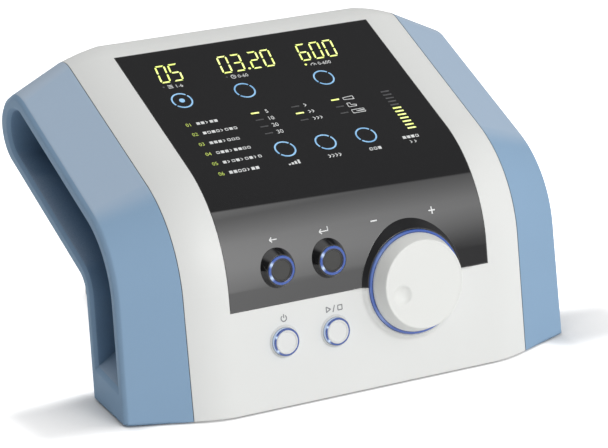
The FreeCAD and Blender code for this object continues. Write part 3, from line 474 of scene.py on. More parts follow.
def paintSeat():
    # the low cone that the knob sits in is matt, also where it belongs to the glossy panel
    mesh = nodes["control_panel"].data
    mesh.materials.append(finishes["seatBlack"])
    centre = onFace(*knobPlace, 0)
    outward = (onFace(0, 0, 1) - onFace(0, 0, 0)).normalized()
    upAxis = (onFace(0, 1, 0) - onFace(0, 0, 0)).normalized()
    for face in mesh.polygons:
        away = face.center - centre
        radial = away - outward * away.dot(outward)
        flat = facing(frontAngle(knobPlace[1] + away.dot(upAxis) / mm))
        sloped = face.normal.dot(Vector((0, flat.x, flat.y))) < seat["flat"]
        if radial.length < seat["radius"] * mm and sloped and away.dot(outward) > seat["low"] * mm:
            face.material_index = len(mesh.materials) - 1


paintSeat()


# mesh helpers
def newPiece(name, verts, faces, finish, body, smooth=True, stands=()):
    mesh = bpy.data.meshes.new(name)
    mesh.from_pydata([tuple(v) for v in verts], [], faces)
    mesh.materials.append(finishes[finish])
    mesh.validate()
    if smooth:
        mesh.shade_smooth()
        mesh.set_sharp_from_angle(angle=radians(32))
    else:
        mesh.shade_flat()
    piece = bpy.data.objects.new(name, mesh)
    bpy.context.scene.collection.objects.link(piece)
    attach(piece, body)
    if stands:
        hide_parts(*stands)
    return piece


def rounded(outline, steps=5):
    # outline points are (radius, out) or (radius, out, fillet); fillets become arcs
    smooth = []
    count = len(outline)
    for i, point in enumerate(outline):
        here = Vector(point[:2])
        fillet = point[2] if len(point) > 2 else 0
        if not fillet or i in (0, count - 1):
            smooth.append(here)
            continue
        before, after = Vector(outline[i - 1][:2]) - here, Vector(outline[i + 1][:2]) - here
        half = before.angle(after) / 2
        reach = min(fillet * cos(half) / sin(half), before.length * 0.49, after.length * 0.49)
        a, b = here + before.normalized() * reach, here + after.normalized() * reach
        middle = here + (before.normalized() + after.normalized()).normalized() * (reach / cos(half))
        for k in range(steps + 1):
            t = k / steps
            q = (a - middle).slerp(b - middle, t, a - middle)
            smooth.append(middle + q)
    return smooth


# painted light: the low wall of a guide is made pale and glowing, this bright; painted highlights fall off
# this steeply
noHalo = -99.0       # lower than any wall of a guide
paintedHaloLight = 0.85      # how bright the wall behind a guide is
glintFalloff = 1.5


def paintGuide(piece, x, up, paintedGlints, rim, halo=noHalo):
    # painted highlights are given as (angle, half width in degrees, brightness); rim gives the share of
    # painted shade, the dark edge, at a radius; the wall lower than halo gets painted light and is pale
    mesh = piece.data
    lit = mesh.attributes.new("lamp", "FLOAT", "POINT")
    edge = mesh.attributes.new("rim", "FLOAT", "POINT")
    middle = onFace(x, up, 0)
    upAxis, outAxis = (onFace(x, up + 1, 0) - middle) / mm, (onFace(x, up, 1) - middle) / mm
    for i, vertex in enumerate(mesh.vertices):
        away = vertex.co - middle
        dx, dUp = away.x, away.dot(upAxis)
        turn = degrees(atan2(dUp, dx)) % 360
        radius = Vector((dx, dUp)).length / mm
        glow = sum(share * max(0.0, 1 - abs((turn - at + 180) % 360 - 180) / width) ** glintFalloff
                   for at, width, share in paintedGlints)
        low = away.dot(outAxis) / mm < halo
        # painted light: the pale low wall, or the painted highlight spots
        lit.data[i].value = paintedHaloLight if low else min(glow, 1.0)
        edge.data[i].value = rim(radius)


ringLook = {
    "wall": (0.7, 0.5, 0.3),             # points on the outer wall, this far below the top
    "chamfer": 0.3, "innerDrop": 0.18,
    "marks": (0.7, 0.5, 0.34, 0.18),     # points on the top, as shares of its width from the inner rim
}


def ringOutline(inner, outer, low, top):
    # cross-section of a button's light guide, with close points near its two rims
    look = ringLook
    points = [((inner + outer) / 2, low), (outer, low)]
    points += [(outer, top - drop) for drop in look["wall"]]
    points.append((outer - look["chamfer"], top))
    points += [(inner + (outer - inner) * share, top) for share in look["marks"]]
    return points + [(inner, top - look["innerDrop"]), (inner, low)]


def turnedMesh(x, up, outline, segments, shape=None):
    # outline goes round the square-out axis; open ends lie on the axis, otherwise it closes on itself
    points = [Vector(p[:2]) for p in outline]
    onAxis = [abs(p.x) < 1e-6 for p in points]
    verts, rings = [], []
    for p, pole in zip(points, onAxis):
        ring = []
        for k in range(1 if pole else segments):
            turn = 2 * pi * k / segments
            dx, dUp, out = p.x * cos(turn), p.x * sin(turn), p.y
            if shape:
                out = shape(dx, dUp, out)
            ring.append(len(verts))
            verts.append(onFace(x + dx, up + dUp, out))
        rings.append(ring)
    faces = []
    pairs = list(zip(rings, rings[1:]))
    if not (onAxis[0] and onAxis[-1]):
        pairs.append((rings[-1], rings[0]))
    for a, b in pairs:
        for k in range(segments):
            n = (k + 1) % segments
            if len(a) == 1:
                faces.append((a[0], b[n], b[k]))
            elif len(b) == 1:
                faces.append((a[k], a[n], b[0]))
            else:
                faces.append((a[k], a[n], b[n], b[k]))
    return verts, faces


# front cover: its strips beside the central face bow out a little instead of being flat
def outwardAt(flat):
    # outward direction of the front line nearest a point of the side view, and how far up it is
    best = None
    for k in range(0, frontLine["length"], 2):
        point = onFront(0, k)
        gap = (Vector((point.y, point.z)) / mm - flat).length
        if best is None or gap < best[0]:
            best = (gap, k)
    crest = max(best[1] - frontLine["crestStart"], 0)
    return facing(frontAngle(best[1]) + crest * frontLine["crestTurn"]), best[1]


def makeFrontCover():
    bow = {"start": 94.0, "end": 120.4, "setBack": 6.5, "steps": 9, "fade": (277.0, 301.0)}
    width = bow["end"] - bow["start"]
    work = bmesh.new()
    work.from_mesh(nodes["front_cover"].data)
    for sign in (-1, 1):
        for k in range(1, bow["steps"]):
            x = sign * (bow["start"] + width * k / bow["steps"]) * mm
            bmesh.ops.bisect_plane(work, geom=work.verts[:] + work.edges[:] + work.faces[:],
                                   plane_co=(x, 0, 0), plane_no=(1, 0, 0), dist=1e-7)
    for vertex in work.verts:
        t = (abs(vertex.co.x) / mm - bow["start"]) / width
        if 0 < t < 1:
            out, s = outwardAt(Vector((vertex.co.y, vertex.co.z)) / mm)
            first, last = bow["fade"]
            push = bow["setBack"] * (t - t * t) * min(max((last - s) / (last - first), 0), 1) * mm
            vertex.co += Vector((0, out.x, out.y)) * push
    mesh = bpy.data.meshes.new("frontCoverShell")
    work.to_mesh(mesh)
    work.free()
    verts = [v.co.copy() for v in mesh.vertices]
    faces = [list(f.vertices) for f in mesh.polygons]
    bpy.data.meshes.remove(mesh)
    piece = newPiece("frontCoverShell", verts, faces, "whiteShell", "housing",
                     stands=["front_cover"])
    even = piece.modifiers.new("even", "WEIGHTED_NORMAL")
    even.keep_sharp = True


makeFrontCover()
print("front cover made")

# rotary knob with its finger dimple
knobLook = {
    "front": 15.0, "lip": 5.0,         # how far out the front face and the foot stand
    "radius": 27.7, "foot": 30.6, "footThick": 1.2, "footEdges": (0.3, 0.5),
    "edge": 0.7,                       # rounding of the front edge
    "flat": 26.4, "rings": 50,         # flat of the front face, with close rings for the dimple
    "inside": (24.6, 27.8), "floor": 11.0, "bore": 3.0, "boreEnd": 12.8, "boss": 7.0,
    "dimple": (-16.2, -4.6), "dimpleBall": 9.0, "dimpleRise": 6.2, "dimpleSoft": 0.5,
    "dimpleReach": 0.98,               # share of the ball's radius that is used
    "faceBand": 0.2,                   # only points this close to the front face are pressed in
    "facets": 144,
}
# light guide round the knob; its marks are radii of points on the top, close together near the rims
knobRingLook = {
    "inner": 29.8, "outer": 33.0, "low": -2.0, "top": 4.6, "innerDrop": 0.2, "outerDrop": 0.4,
    "marks": (32.6, 32.3, 31.9, 31.7, 31.4, 30.9, 30.5),
    # painted highlights at two angles, and painted shade over the inner half of the top
    "paintedGlints": [(140, 70, 0.16), (215, 22, 0.2)], "rim": lambda r: 1.0 if r < 31.5 else 0.0,
}


def dimpled(dx, dUp, out):
    look = knobLook
    if out < look["front"] - look["faceBand"]:
        return out
    away = (Vector((dx, dUp)) - Vector(look["dimple"])).length
    if away > look["dimpleBall"] * look["dimpleReach"]:
        return out
    ball = look["front"] + look["dimpleRise"] - sqrt(look["dimpleBall"] ** 2 - away ** 2)
    gap, soft = ball - out, look["dimpleSoft"]
    if abs(gap) < soft:
        return out - (soft - gap) ** 2 / (4 * soft)
    return min(out, ball)


def makeKnob():
    look = knobLook
    front, lip, flat = look["front"], look["lip"], look["flat"]
    inside, mouth = look["inside"]
    lowEdge, highEdge = look["footEdges"]
    disc = [(flat - flat * i / look["rings"], front) for i in range(1, look["rings"] - 1)]
    skirt = rounded([(inside, look["floor"]), (mouth, lip), (look["foot"], lip, lowEdge),
                     (look["foot"], lip + look["footThick"], highEdge), (look["radius"], front, look["edge"]),
                     (flat, front)])
    outline = [(0, look["boreEnd"]), (look["bore"], look["boreEnd"]), (look["bore"], lip),
               (look["boss"], lip), (look["boss"], look["floor"]), *skirt, *disc, (0, front)]
    verts, faces = turnedMesh(*knobPlace, outline, look["facets"], dimpled)
    newPiece("knobCap", verts, faces, "knobWhite", "knob", stands=["knob"])


def makeKnobRing():
    look = knobRingLook
    inner, outer, low, top = look["inner"], look["outer"], look["low"], look["top"]
    ring = [((inner + outer) / 2, low), (outer, low), (outer, top - look["outerDrop"])]
    ring += [(radius, top) for radius in look["marks"]]
    ring += [(inner, top - look["innerDrop"]), (inner, low)]
    verts, faces = turnedMesh(*knobPlace, ring, knobLook["facets"])
    piece = newPiece("knobLightRing", verts, faces, "lightGuide", "housing",
                     stands=["knob_light_ring"])
    paintGuide(piece, *knobPlace, look["paintedGlints"], look["rim"])


makeKnob()
makeKnobRing()
print("knob made")

# four push buttons
# each guide gets painted highlights at two angles and painted shade, strongest along its inner rim; under the
# white caps the wall below halo gets painted light
darkButton = {"cap": 6.9, "top": 3.9, "ring": (7.2, 9.05), "ringTop": 4.7, "ringLow": 2.0,
              "stop": -6.5, "dish": 0.15, "finish": "capDark", "slot": "cap_dark",
              "paintedGlints": [(147, 17, 1), (207, 18, 1)], "rim": lambda r: 1.0 if r < 7.8 else 0.0, "halo": noHalo}
whiteButton = {"cap": 7.0, "top": 3.6, "ring": (7.25, 8.7), "ringTop": 3.5, "ringLow": -1.5,
               "stop": -3.5, "dish": 0.1, "finish": "capWhite", "slot": "cap_white",
               "paintedGlints": [(150, 11, 1), (215, 13, 1)], "rim": lambda r: 0.9 if r < 7.5 else 0.4, "halo": 2.9}
buttonPlaces = {
    "esc": (-57.4, 86.1, darkButton), "enter": (-21.3, 86.1, darkButton),
    "on_off": (-57.4, 40.9, whiteButton), "start_stop": (-21.3, 40.9, whiteButton),
}
# what all four share: the dished part of the cap's face, then the flange and the stem
capFace = {"share": 0.86, "rings": 8, "edge": 0.45}
stem = {"radius": 2.5, "end": -12.6, "flange": 8.2, "flangeThick": 1.2, "flangeEdge": 0.2, "clearance": 0.3}
buttonFacets = 72


def makeButtons():
    for name, (x, up, kind) in buttonPlaces.items():
        cap, top, dish = kind["cap"], kind["top"], kind["dish"]
        flange = kind["stop"] - stem["clearance"]
        low = flange - stem["flangeThick"]
        bowl, rings = cap * capFace["share"], capFace["rings"]
        wide, rim = stem["flange"], stem["flangeEdge"]
        face = [(0, top - dish)]
        face += [(bowl * k / rings, top - dish * (1 - (k / rings) ** 2)) for k in range(1, rings + 1)]
        side = rounded([(bowl, top), (cap, top, capFace["edge"]), (cap, flange), (wide, flange, rim),
                        (wide, low, rim), (stem["radius"], low), (stem["radius"], stem["end"]),
                        (0, stem["end"])])
        verts, faces = turnedMesh(x, up, face + side[1:], buttonFacets)
        newPiece(name + "Cap", verts, faces, kind["finish"], name, stands=[name + "_button"])
        ring = ringOutline(*kind["ring"], kind["ringLow"], kind["ringTop"])
        verts, faces = turnedMesh(x, up, ring, buttonFacets)
        piece = newPiece(name + "LightRing", verts, faces, "lightGuide", "housing",
                         stands=[name + "_light_ring"])
        paintGuide(piece, x, up, kind["paintedGlints"], kind["rim"], kind["halo"])


makeButtons()
print("buttons made")

# flat shapes for print and lamps, in panel coordinates: x across, s up the front
inkThick = 0.06
inkLift = 0.05
fontSize = 1.42      # text size over the height of its digits


def stroke(x0, s0, x1, s1, width):
    a, b = Vector((x0, s0)), Vector((x1, s1))
    side = (b - a).normalized().orthogonal() * width / 2
    return [tuple(a - side), tuple(b - side), tuple(b + side), tuple(a + side)]


def block(x0, x1, s0, s1):
    return [(x0, s0), (x1, s0), (x1, s1), (x0, s1)]


def band(x, s, radius, width, start, end, steps=24):
    # part of a ring, from angle start to end in degrees
    turns = [radians(start + (end - start) * k / steps) for k in range(steps + 1)]
    outer, inner = radius + width / 2, radius - width / 2
    shapes = []
    for a, b in zip(turns, turns[1:]):
        shapes.append([(x + r * cos(t), s + r * sin(t)) for r, t in
                       ((inner, a), (outer, a), (outer, b), (inner, b))])
    return shapes


def spot(x, s, radius, steps=24):
    return [(x + radius * cos(2 * pi * k / steps), s + radius * sin(2 * pi * k / steps))
            for k in range(steps)]


def outlineOf(points, width):
    # strokes round a closed outline
    return [stroke(*a, *b, width) for a, b in zip(points, points[1:] + points[:1])]


def prisms(shapes):
    # each closed outline becomes a thin plate that stands on the front
    verts, faces = [], []
    for points in shapes:
        area = sum(a[0] * b[1] - b[0] * a[1] for a, b in zip(points, points[1:] + points[:1]))
        if area < 0:
            points = points[::-1]
        count, base = len(points), len(verts)
        for lift in (inkLift, inkLift + inkThick):
            verts += [onFront(x, s, lift) for x, s in points]
        faces.append([base + count + k for k in range(count)])
        faces.append([base + k for k in range(count)][::-1])
        for k in range(count):
            n = (k + 1) % count
            faces.append([base + k, base + n, base + count + n, base + count + k])
    return verts, faces


def flatPiece(name, shapes, finish):
    verts, faces = prisms(shapes)
    newPiece(name, verts, faces, finish, "housing", smooth=False)


def numberPiece(name, labels, finish):
    # labels are (text, x, s, height), each starting at x
    verts, faces = [], []
    for text, x, s, height in labels:
        curve = bpy.data.curves.new(name, "FONT")
        curve.body = text
        curve.size = height * fontSize
        curve.extrude = inkThick / 2
        curve.resolution_u = 4
        holder = bpy.data.objects.new(name, curve)
        bpy.context.scene.collection.objects.link(holder)
        bpy.context.view_layer.update()
        graph = bpy.context.evaluated_depsgraph_get()
        mesh = bpy.data.meshes.new_from_object(holder.evaluated_get(graph))
        base = len(verts)
        verts += [onFront(x + v.co.x, s + v.co.y, inkLift + inkThick / 2 + v.co.z) for v in mesh.vertices]
        faces += [[base + i for i in p.vertices] for p in mesh.polygons]
        bpy.data.objects.remove(holder)
        bpy.data.meshes.remove(mesh)
        bpy.data.curves.remove(curve)
    newPiece(name, verts, faces, finish, "housing", smooth=False)


# seven-segment digits
digitLook = {"height": 16.6, "width": 7.3, "stroke": 1.18, "slant": 0.15, "gap": 0.46, "flare": 0.3,
             "low": 242.2}
segmentsOf = {"0": "abcdef", "2": "abged", "3": "abgcd", "5": "afgcd", "6": "afgedc"}


def digit(character, left):
    look = digitLook
    high, wide, thick, gap = look["height"], look["width"], look["stroke"], look["gap"]
    half, inset = high / 2, thick / 2

    def lay(points):
        return [(left + x + look["slant"] * y, look["low"] + y) for x, y in points]

    def across(y, shift):
        # shift is 1 at the top edge, -1 at the bottom edge and 0 in the middle
        a, b, flare = inset + gap, wide - inset - gap, look["flare"]
        if shift:
            inner = y - shift * thick
            return lay([(a - flare, y), (a + inset, inner), (b - inset, inner), (b + flare, y)])
        return lay([(a, y), (a + inset, y - inset), (b - inset, y - inset), (b, y), (b - inset, y + inset),
                    (a + inset, y + inset)])

    def upright(x, y0, y1):
        a, b = y0 + gap + inset, y1 - gap - inset
        return lay([(x, a - inset), (x + inset, a), (x + inset, b), (x, b + inset), (x - inset, b),
                    (x - inset, a)])

    spans = {
        "a": across(high, 1), "g": across(half, 0), "d": across(0, -1),
        "f": upright(inset, half, high - inset), "b": upright(wide - inset, half, high - inset),
        "e": upright(inset, inset, half), "c": upright(wide - inset, inset, half),
    }
    return [spans[key] for key in segmentsOf[character]]


displayLook = {
    "digits": (("05", -73.6, 9.1), ("03", -29.2, 9.4), ("20", -7.4, 9.4), ("600", 28.7, 9.9)),  # left, pitch
    "point": (-9.5, 243.4, 0.9),
    "litLamp": (29.4, 238.6, 0.85), "dimLamps": ((-73.7, 238.6, 0.7), (-28.5, 238.7, 0.7)),
    # left end, chosen row and the other rows of each column of dashes
    "columns": ((-29.7, 201.8, (195.1, 188.5, 181.8)), (-0.6, 195.1, (201.7, 188.4)),
                (28.7, 201.8, (194.9, 188.6))),
    "dash": (0.2, 5.9), "litHalf": 0.6, "dimHalf": 0.5,
    "bar": {"span": (65.8, 71.9), "top": 201.9, "pitch": 3.34, "count": 12, "lit": 7},
}


def makeDisplays():
    look, lit, dim = displayLook, [], []
    for text, left, pitch in look["digits"]:
        for i, character in enumerate(text):
            lit += digit(character, left + pitch * i)
    lit += [spot(*look["point"], steps=16), spot(*look["litLamp"], steps=16)]
    dim += [spot(*lamp, steps=16) for lamp in look["dimLamps"]]
    start, end = look["dash"]
    for x, chosen, others in look["columns"]:
        lit.append(block(x + start, x + end, chosen - look["litHalf"], chosen + look["litHalf"]))
        dim += [block(x + start, x + end, s - look["dimHalf"], s + look["dimHalf"]) for s in others]
    bar = look["bar"]
    for i in range(bar["count"]):
        s = bar["top"] - bar["pitch"] * i
        shapes = lit if i >= bar["count"] - bar["lit"] else dim
        shapes.append(block(*bar["span"], s - look["litHalf"], s + look["litHalf"]))
    flatPiece("litSegments", lit, "segmentLit")
    flatPiece("dimSegments", dim, "segmentDim")


touchLook = {"radius": 6.6, "line": 1.05, "gap": 4.5, "gapsAt": (40, 215), "dot": 1.9,
             "spots": ((-67.7, 223.9), (-22.8, 223.9), (35.1, 223.9), (-23.4, 165.6), (5.7, 165.6),
                       (35.2, 165.6))}


def makeTouchRings():
    look, shapes = touchLook, []
    first, second = look["gapsAt"]
    for x, s in look["spots"]:
        shapes += band(x, s, look["radius"], look["line"], first + look["gap"], second - look["gap"])
        shapes += band(x, s, look["radius"], look["line"], second + look["gap"], first + 360 - look["gap"])
    shapes.append(spot(*look["spots"][0], look["dot"]))
    flatPiece("touchRings", shapes, "touchBlue")


chevronPoint = 0.55      # how far the tip stands out, over the height


def chevrons(x, s, count, size=2.6, width=0.55, pitch=0.95):
    shapes = []
    for i in range(count):
        left = x + i * size * pitch
        tip = (left + size * chevronPoint, s + size / 2)
        shapes += [stroke(left, s, *tip, width), stroke(left, s + size, *tip, width)]
    return shapes


def cells(x, s, pattern, size=2.3, pitch=3.1, line=0.45):
    # a row of chambers: # filled, o open, > an arrow
    shapes = []
    for i, mark in enumerate(pattern):
        left = x + pitch * i
        if mark == "#":
            shapes.append(block(left, left + size, s, s + size))
        elif mark == "o":
            shapes += outlineOf(block(left + line / 2, left + size - line / 2, s + line / 2,
                                      s + size - line / 2), line)
        elif mark == ">":
            shapes += chevrons(left + 0.3, s + 0.1, 1, size - 0.2, line + 0.05)
    return shapes


printLook = {
    "ink": 0.45,
    "programRows": (201.0, 191.7, 182.1, 172.6, 163.3, 154.1),
    "programPatterns": ("##>##", "#o#o>o#o", "###>ooo", "o##>##oo", "#>o#>o#>o", "##oo>##"),
    "programLeft": -68.6, "programDrop": 1.2,
    "list": {"span": (-70.8, -67.4), "low": 236.6, "pitch": 1.25, "line": 0.5, "count": 3},
    "clock": (-23.9, 238.1, 1.6), "gauge": (34.6, 237.0, 1.9),
    "speedRows": ((201.7, 1), (195.1, 2), (188.4, 3)), "speedLeft": 8.9, "speedDrop": 1.3,
    # sleeve, boot, trousers
    "garments": ([(37.6, 200.6), (44.8, 200.0), (44.8, 203.0), (37.6, 202.4)],
                 [(37.6, 193.3), (43.4, 193.3), (43.4, 194.7), (40.0, 195.2), (39.8, 196.9), (37.6, 196.9)],
                 [(37.6, 187.0), (46.6, 187.0), (46.6, 188.2), (40.6, 188.6), (46.6, 189.0), (46.6, 190.2),
                  (37.6, 190.2)]),
    "steps": {"left": -27.6, "low": 151.6, "pitch": 2.3, "width": 1.5, "high": 0.9, "rise": 0.75, "count": 4},
    "fast": (1.6, 151.8, 4),
    "chambers": ((31.2, 151.8, "oo#"), (58.0, 156.4, "###o"), (61.1, 152.0, ">>")),
    "minus": (12.3, 16.9, 103.9, 104.8), "plus": ((54.6, 59.3, 103.8, 104.7), (56.5, 57.4, 101.9, 106.6)),
    # lines of the signs, each from one point to another, measured from the sign's own place
    "hands": ((0, -0.1, 0, 1.1), (0, 0, 1.0, 0)), "needle": ((0, 0, 1.1, 1.3),), "handLine": 0.4,
    "back": (-59.8, 104.4), "backLines": ((0.2, 0, 5.4, 0), (0, 0, 1.8, 1.5), (0, 0, 1.8, -1.5)),
    "enter": (-24.8, 103.8),
    "enterLines": ((0.2, 0, 6.6, 0), (6.3, -0.2, 6.3, 2.6), (0, 0, 1.8, 1.5), (0, 0, 1.8, -1.5)),
    "arrowLine": 0.6,
    "power": (-56.5, 55.2, 1.9), "powerOpen": (125, 415), "powerBar": ((0, 0.2, 0, 2.6),),
    "start": [(-26.4, 53.4), (-26.4, 56.8), (-23.4, 55.1)], "slash": (-21.8, 53.0, -20.4, 57.2),
    "stop": (-18.2, -15.2, 53.6, 56.6),
    "numbersLeft": -76.2, "numbersDrop": 1.4, "numbersHigh": 2.9,
    "scale": (("5", -19.4, 201.8, 3.3), ("10", -20.9, 195.1, 3.3), ("20", -21.1, 188.5, 3.3),
              ("30", -21.1, 181.8, 3.3), ("1-6", -65.9, 237.9, 2.9), ("0-60", -20.9, 237.9, 2.9),
              ("0-600", 38.0, 237.9, 2.9)),
    "scaleDrop": 1.5,
}


def strokesAt(x, s, lines, width):
    # the lines of a sign, put at its place
    return [stroke(x + x0, s + s0, x + x1, s + s1, width) for x0, s0, x1, s1 in lines]


def makePanelPrint():
    look, shapes = printLook, []
    ink, thin, bold = look["ink"], look["handLine"], look["arrowLine"]
    # under the three displays: list, clock, gauge
    lines = look["list"]
    for i in range(lines["count"]):
        low = lines["low"] + lines["pitch"] * i
        shapes.append(block(*lines["span"], low, low + lines["line"]))
    x, s, radius = look["clock"]
    shapes += band(x, s, radius, ink, 0, 360, steps=20) + strokesAt(x, s, look["hands"], thin)
    x, s, radius = look["gauge"]
    shapes += band(x, s, radius, ink, 0, 180, steps=14) + strokesAt(x, s, look["needle"], thin)
    # one row of chambers beside each program number
    for s, pattern in zip(look["programRows"], look["programPatterns"]):
        shapes += cells(look["programLeft"], s - look["programDrop"], pattern)
    for s, count in look["speedRows"]:
        shapes += chevrons(look["speedLeft"], s - look["speedDrop"], count)
    for points in look["garments"]:
        shapes += outlineOf(points, ink)
    # under the lower three rings: rising steps, speed, and chambers at work
    steps = look["steps"]
    for i in range(steps["count"]):
        left, high = steps["left"] + steps["pitch"] * i, steps["high"] + steps["rise"] * i
        shapes.append(block(left, left + steps["width"], steps["low"], steps["low"] + high))
    shapes += chevrons(*look["fast"])
    for row in look["chambers"]:
        shapes += cells(*row)
    # over the dark buttons and the knob: back, enter, minus, plus
    shapes += strokesAt(*look["back"], look["backLines"], bold)
    shapes += strokesAt(*look["enter"], look["enterLines"], bold)
    shapes += [block(*corners) for corners in (look["minus"], *look["plus"])]
    flatPiece("panelPrint", shapes, "inkWhite")


def makeCoverPrint():
    # over the white buttons: power sign, start and stop
    look, ink = printLook, printLook["ink"]
    x, s, radius = look["power"]
    shapes = band(x, s, radius, ink, *look["powerOpen"], steps=20) + strokesAt(x, s, look["powerBar"], ink)
    shapes += outlineOf(look["start"], ink) + [stroke(*look["slash"], ink)]
    shapes += outlineOf(block(*look["stop"]), ink)
    flatPiece("coverPrint", shapes, "inkGrey")


def makeNumbers():
    look = printLook
    left, drop, high = look["numbersLeft"], look["numbersDrop"], look["numbersHigh"]
    programs = [("0" + str(i + 1), left, s - drop, high) for i, s in enumerate(look["programRows"])]
    numberPiece("programNumbers", programs, "numberLit")
    scale = [(text, x, s - look["scaleDrop"], tall) for text, x, s, tall in look["scale"]]
    numberPiece("scaleNumbers", scale, "inkWhite")


makeDisplays()
makeTouchRings()
makePanelPrint()
makeCoverPrint()
makeNumbers()
print("displays and print made")

# floor, light and camera
studio = {
    "floorColor": (0.82, 0.82, 0.82, 1),
    "floorLift": (0.9, 0.4), "contactDepth": (0.0, 4.0),     # in the open, and in the broad shadow
    "contactReach": (0.12, 0.016), "closeDepth": 0.8,        # broad shadow, and the thin one at the feet
    # where the broad shadow fades in and out: to the side, and from front to back
    "shadeIn": (0.135, 0.16), "shadeOut": (0.235, 0.203),
    "shadeFront": (-0.132, -0.1), "shadeBack": (-0.046, -0.07), "shadeSlant": 0.058,
    "tableSide": 7.0, "tableFront": -0.95, "tableBack": 7.0,
}


def cameraFlag(tree):
    path = addNode(tree, "ShaderNodeLightPath").outputs
    flag = calc(tree, "MAXIMUM", path["Is Camera Ray"], path["Is Glossy Ray"])
    return calc(tree, "MAXIMUM", flag, path["Is Transmission Ray"])


def makeFloor():
    material = bpy.data.materials.new("floorPaper")
    material.use_nodes = True
    tree = material.node_tree
    tree.nodes.clear()
    diffuse = addNode(tree, "ShaderNodeBsdfDiffuse")
    diffuse.inputs["Color"].default_value = studio["floorColor"]
    glow = addNode(tree, "ShaderNodeEmission")
    flag = cameraFlag(tree)
    broad, close = [addNode(tree, "ShaderNodeAmbientOcclusion", samples=8) for k in range(2)]
    for contact, reach in zip((broad, close), studio["contactReach"]):
        contact.inputs["Distance"].default_value = reach
    split = addNode(tree, "ShaderNodeSeparateXYZ")
    tree.links.new(addNode(tree, "ShaderNodeTexCoord").outputs["Object"], split.inputs[0])
    # painted shadow in the floor's glow: the broad soft shadow lies beside the feet of the side covers, and
    # elsewhere only close to the object
    aside = calc(tree, "ABSOLUTE", split.outputs["X"])
    slant = calc(tree, "MULTIPLY", split.outputs["X"], studio["shadeSlant"])
    back = calc(tree, "ADD", split.outputs["Y"], slant)
    zone = 1.0
    for place, edge in ((aside, "shadeIn"), (aside, "shadeOut"), (back, "shadeFront"), (back, "shadeBack")):
        zone = calc(tree, "MULTIPLY", spread(tree, place, *studio[edge], smooth=True), zone)
    level = spread(tree, zone, 0.0, 1.0, *studio["floorLift"])
    depth = spread(tree, zone, 0.0, 1.0, *studio["contactDepth"])
    for share in (calc(tree, "POWER", broad.outputs["AO"], depth),
                  calc(tree, "POWER", close.outputs["AO"], studio["closeDepth"])):
        level = calc(tree, "MULTIPLY", share, level)
    tree.links.new(calc(tree, "MULTIPLY", flag, level), glow.inputs["Strength"])
    total = addNode(tree, "ShaderNodeAddShader")
    tree.links.new(diffuse.outputs[0], total.inputs[0])
    tree.links.new(glow.outputs[0], total.inputs[1])
    output = addNode(tree, "ShaderNodeOutputMaterial")
    tree.links.new(total.outputs[0], output.inputs["Surface"])
    mesh = bpy.data.meshes.new("floor")
    side, near, far = studio["tableSide"], studio["tableFront"], studio["tableBack"]
    corners = [(-side, near, 0), (side, near, 0), (side, far, 0), (-side, far, 0)]
    mesh.from_pydata(corners, [], [(0, 1, 2, 3)])
    mesh.materials.append(material)
    floor = bpy.data.objects.new("floor", mesh)
    bpy.context.scene.collection.objects.link(floor)


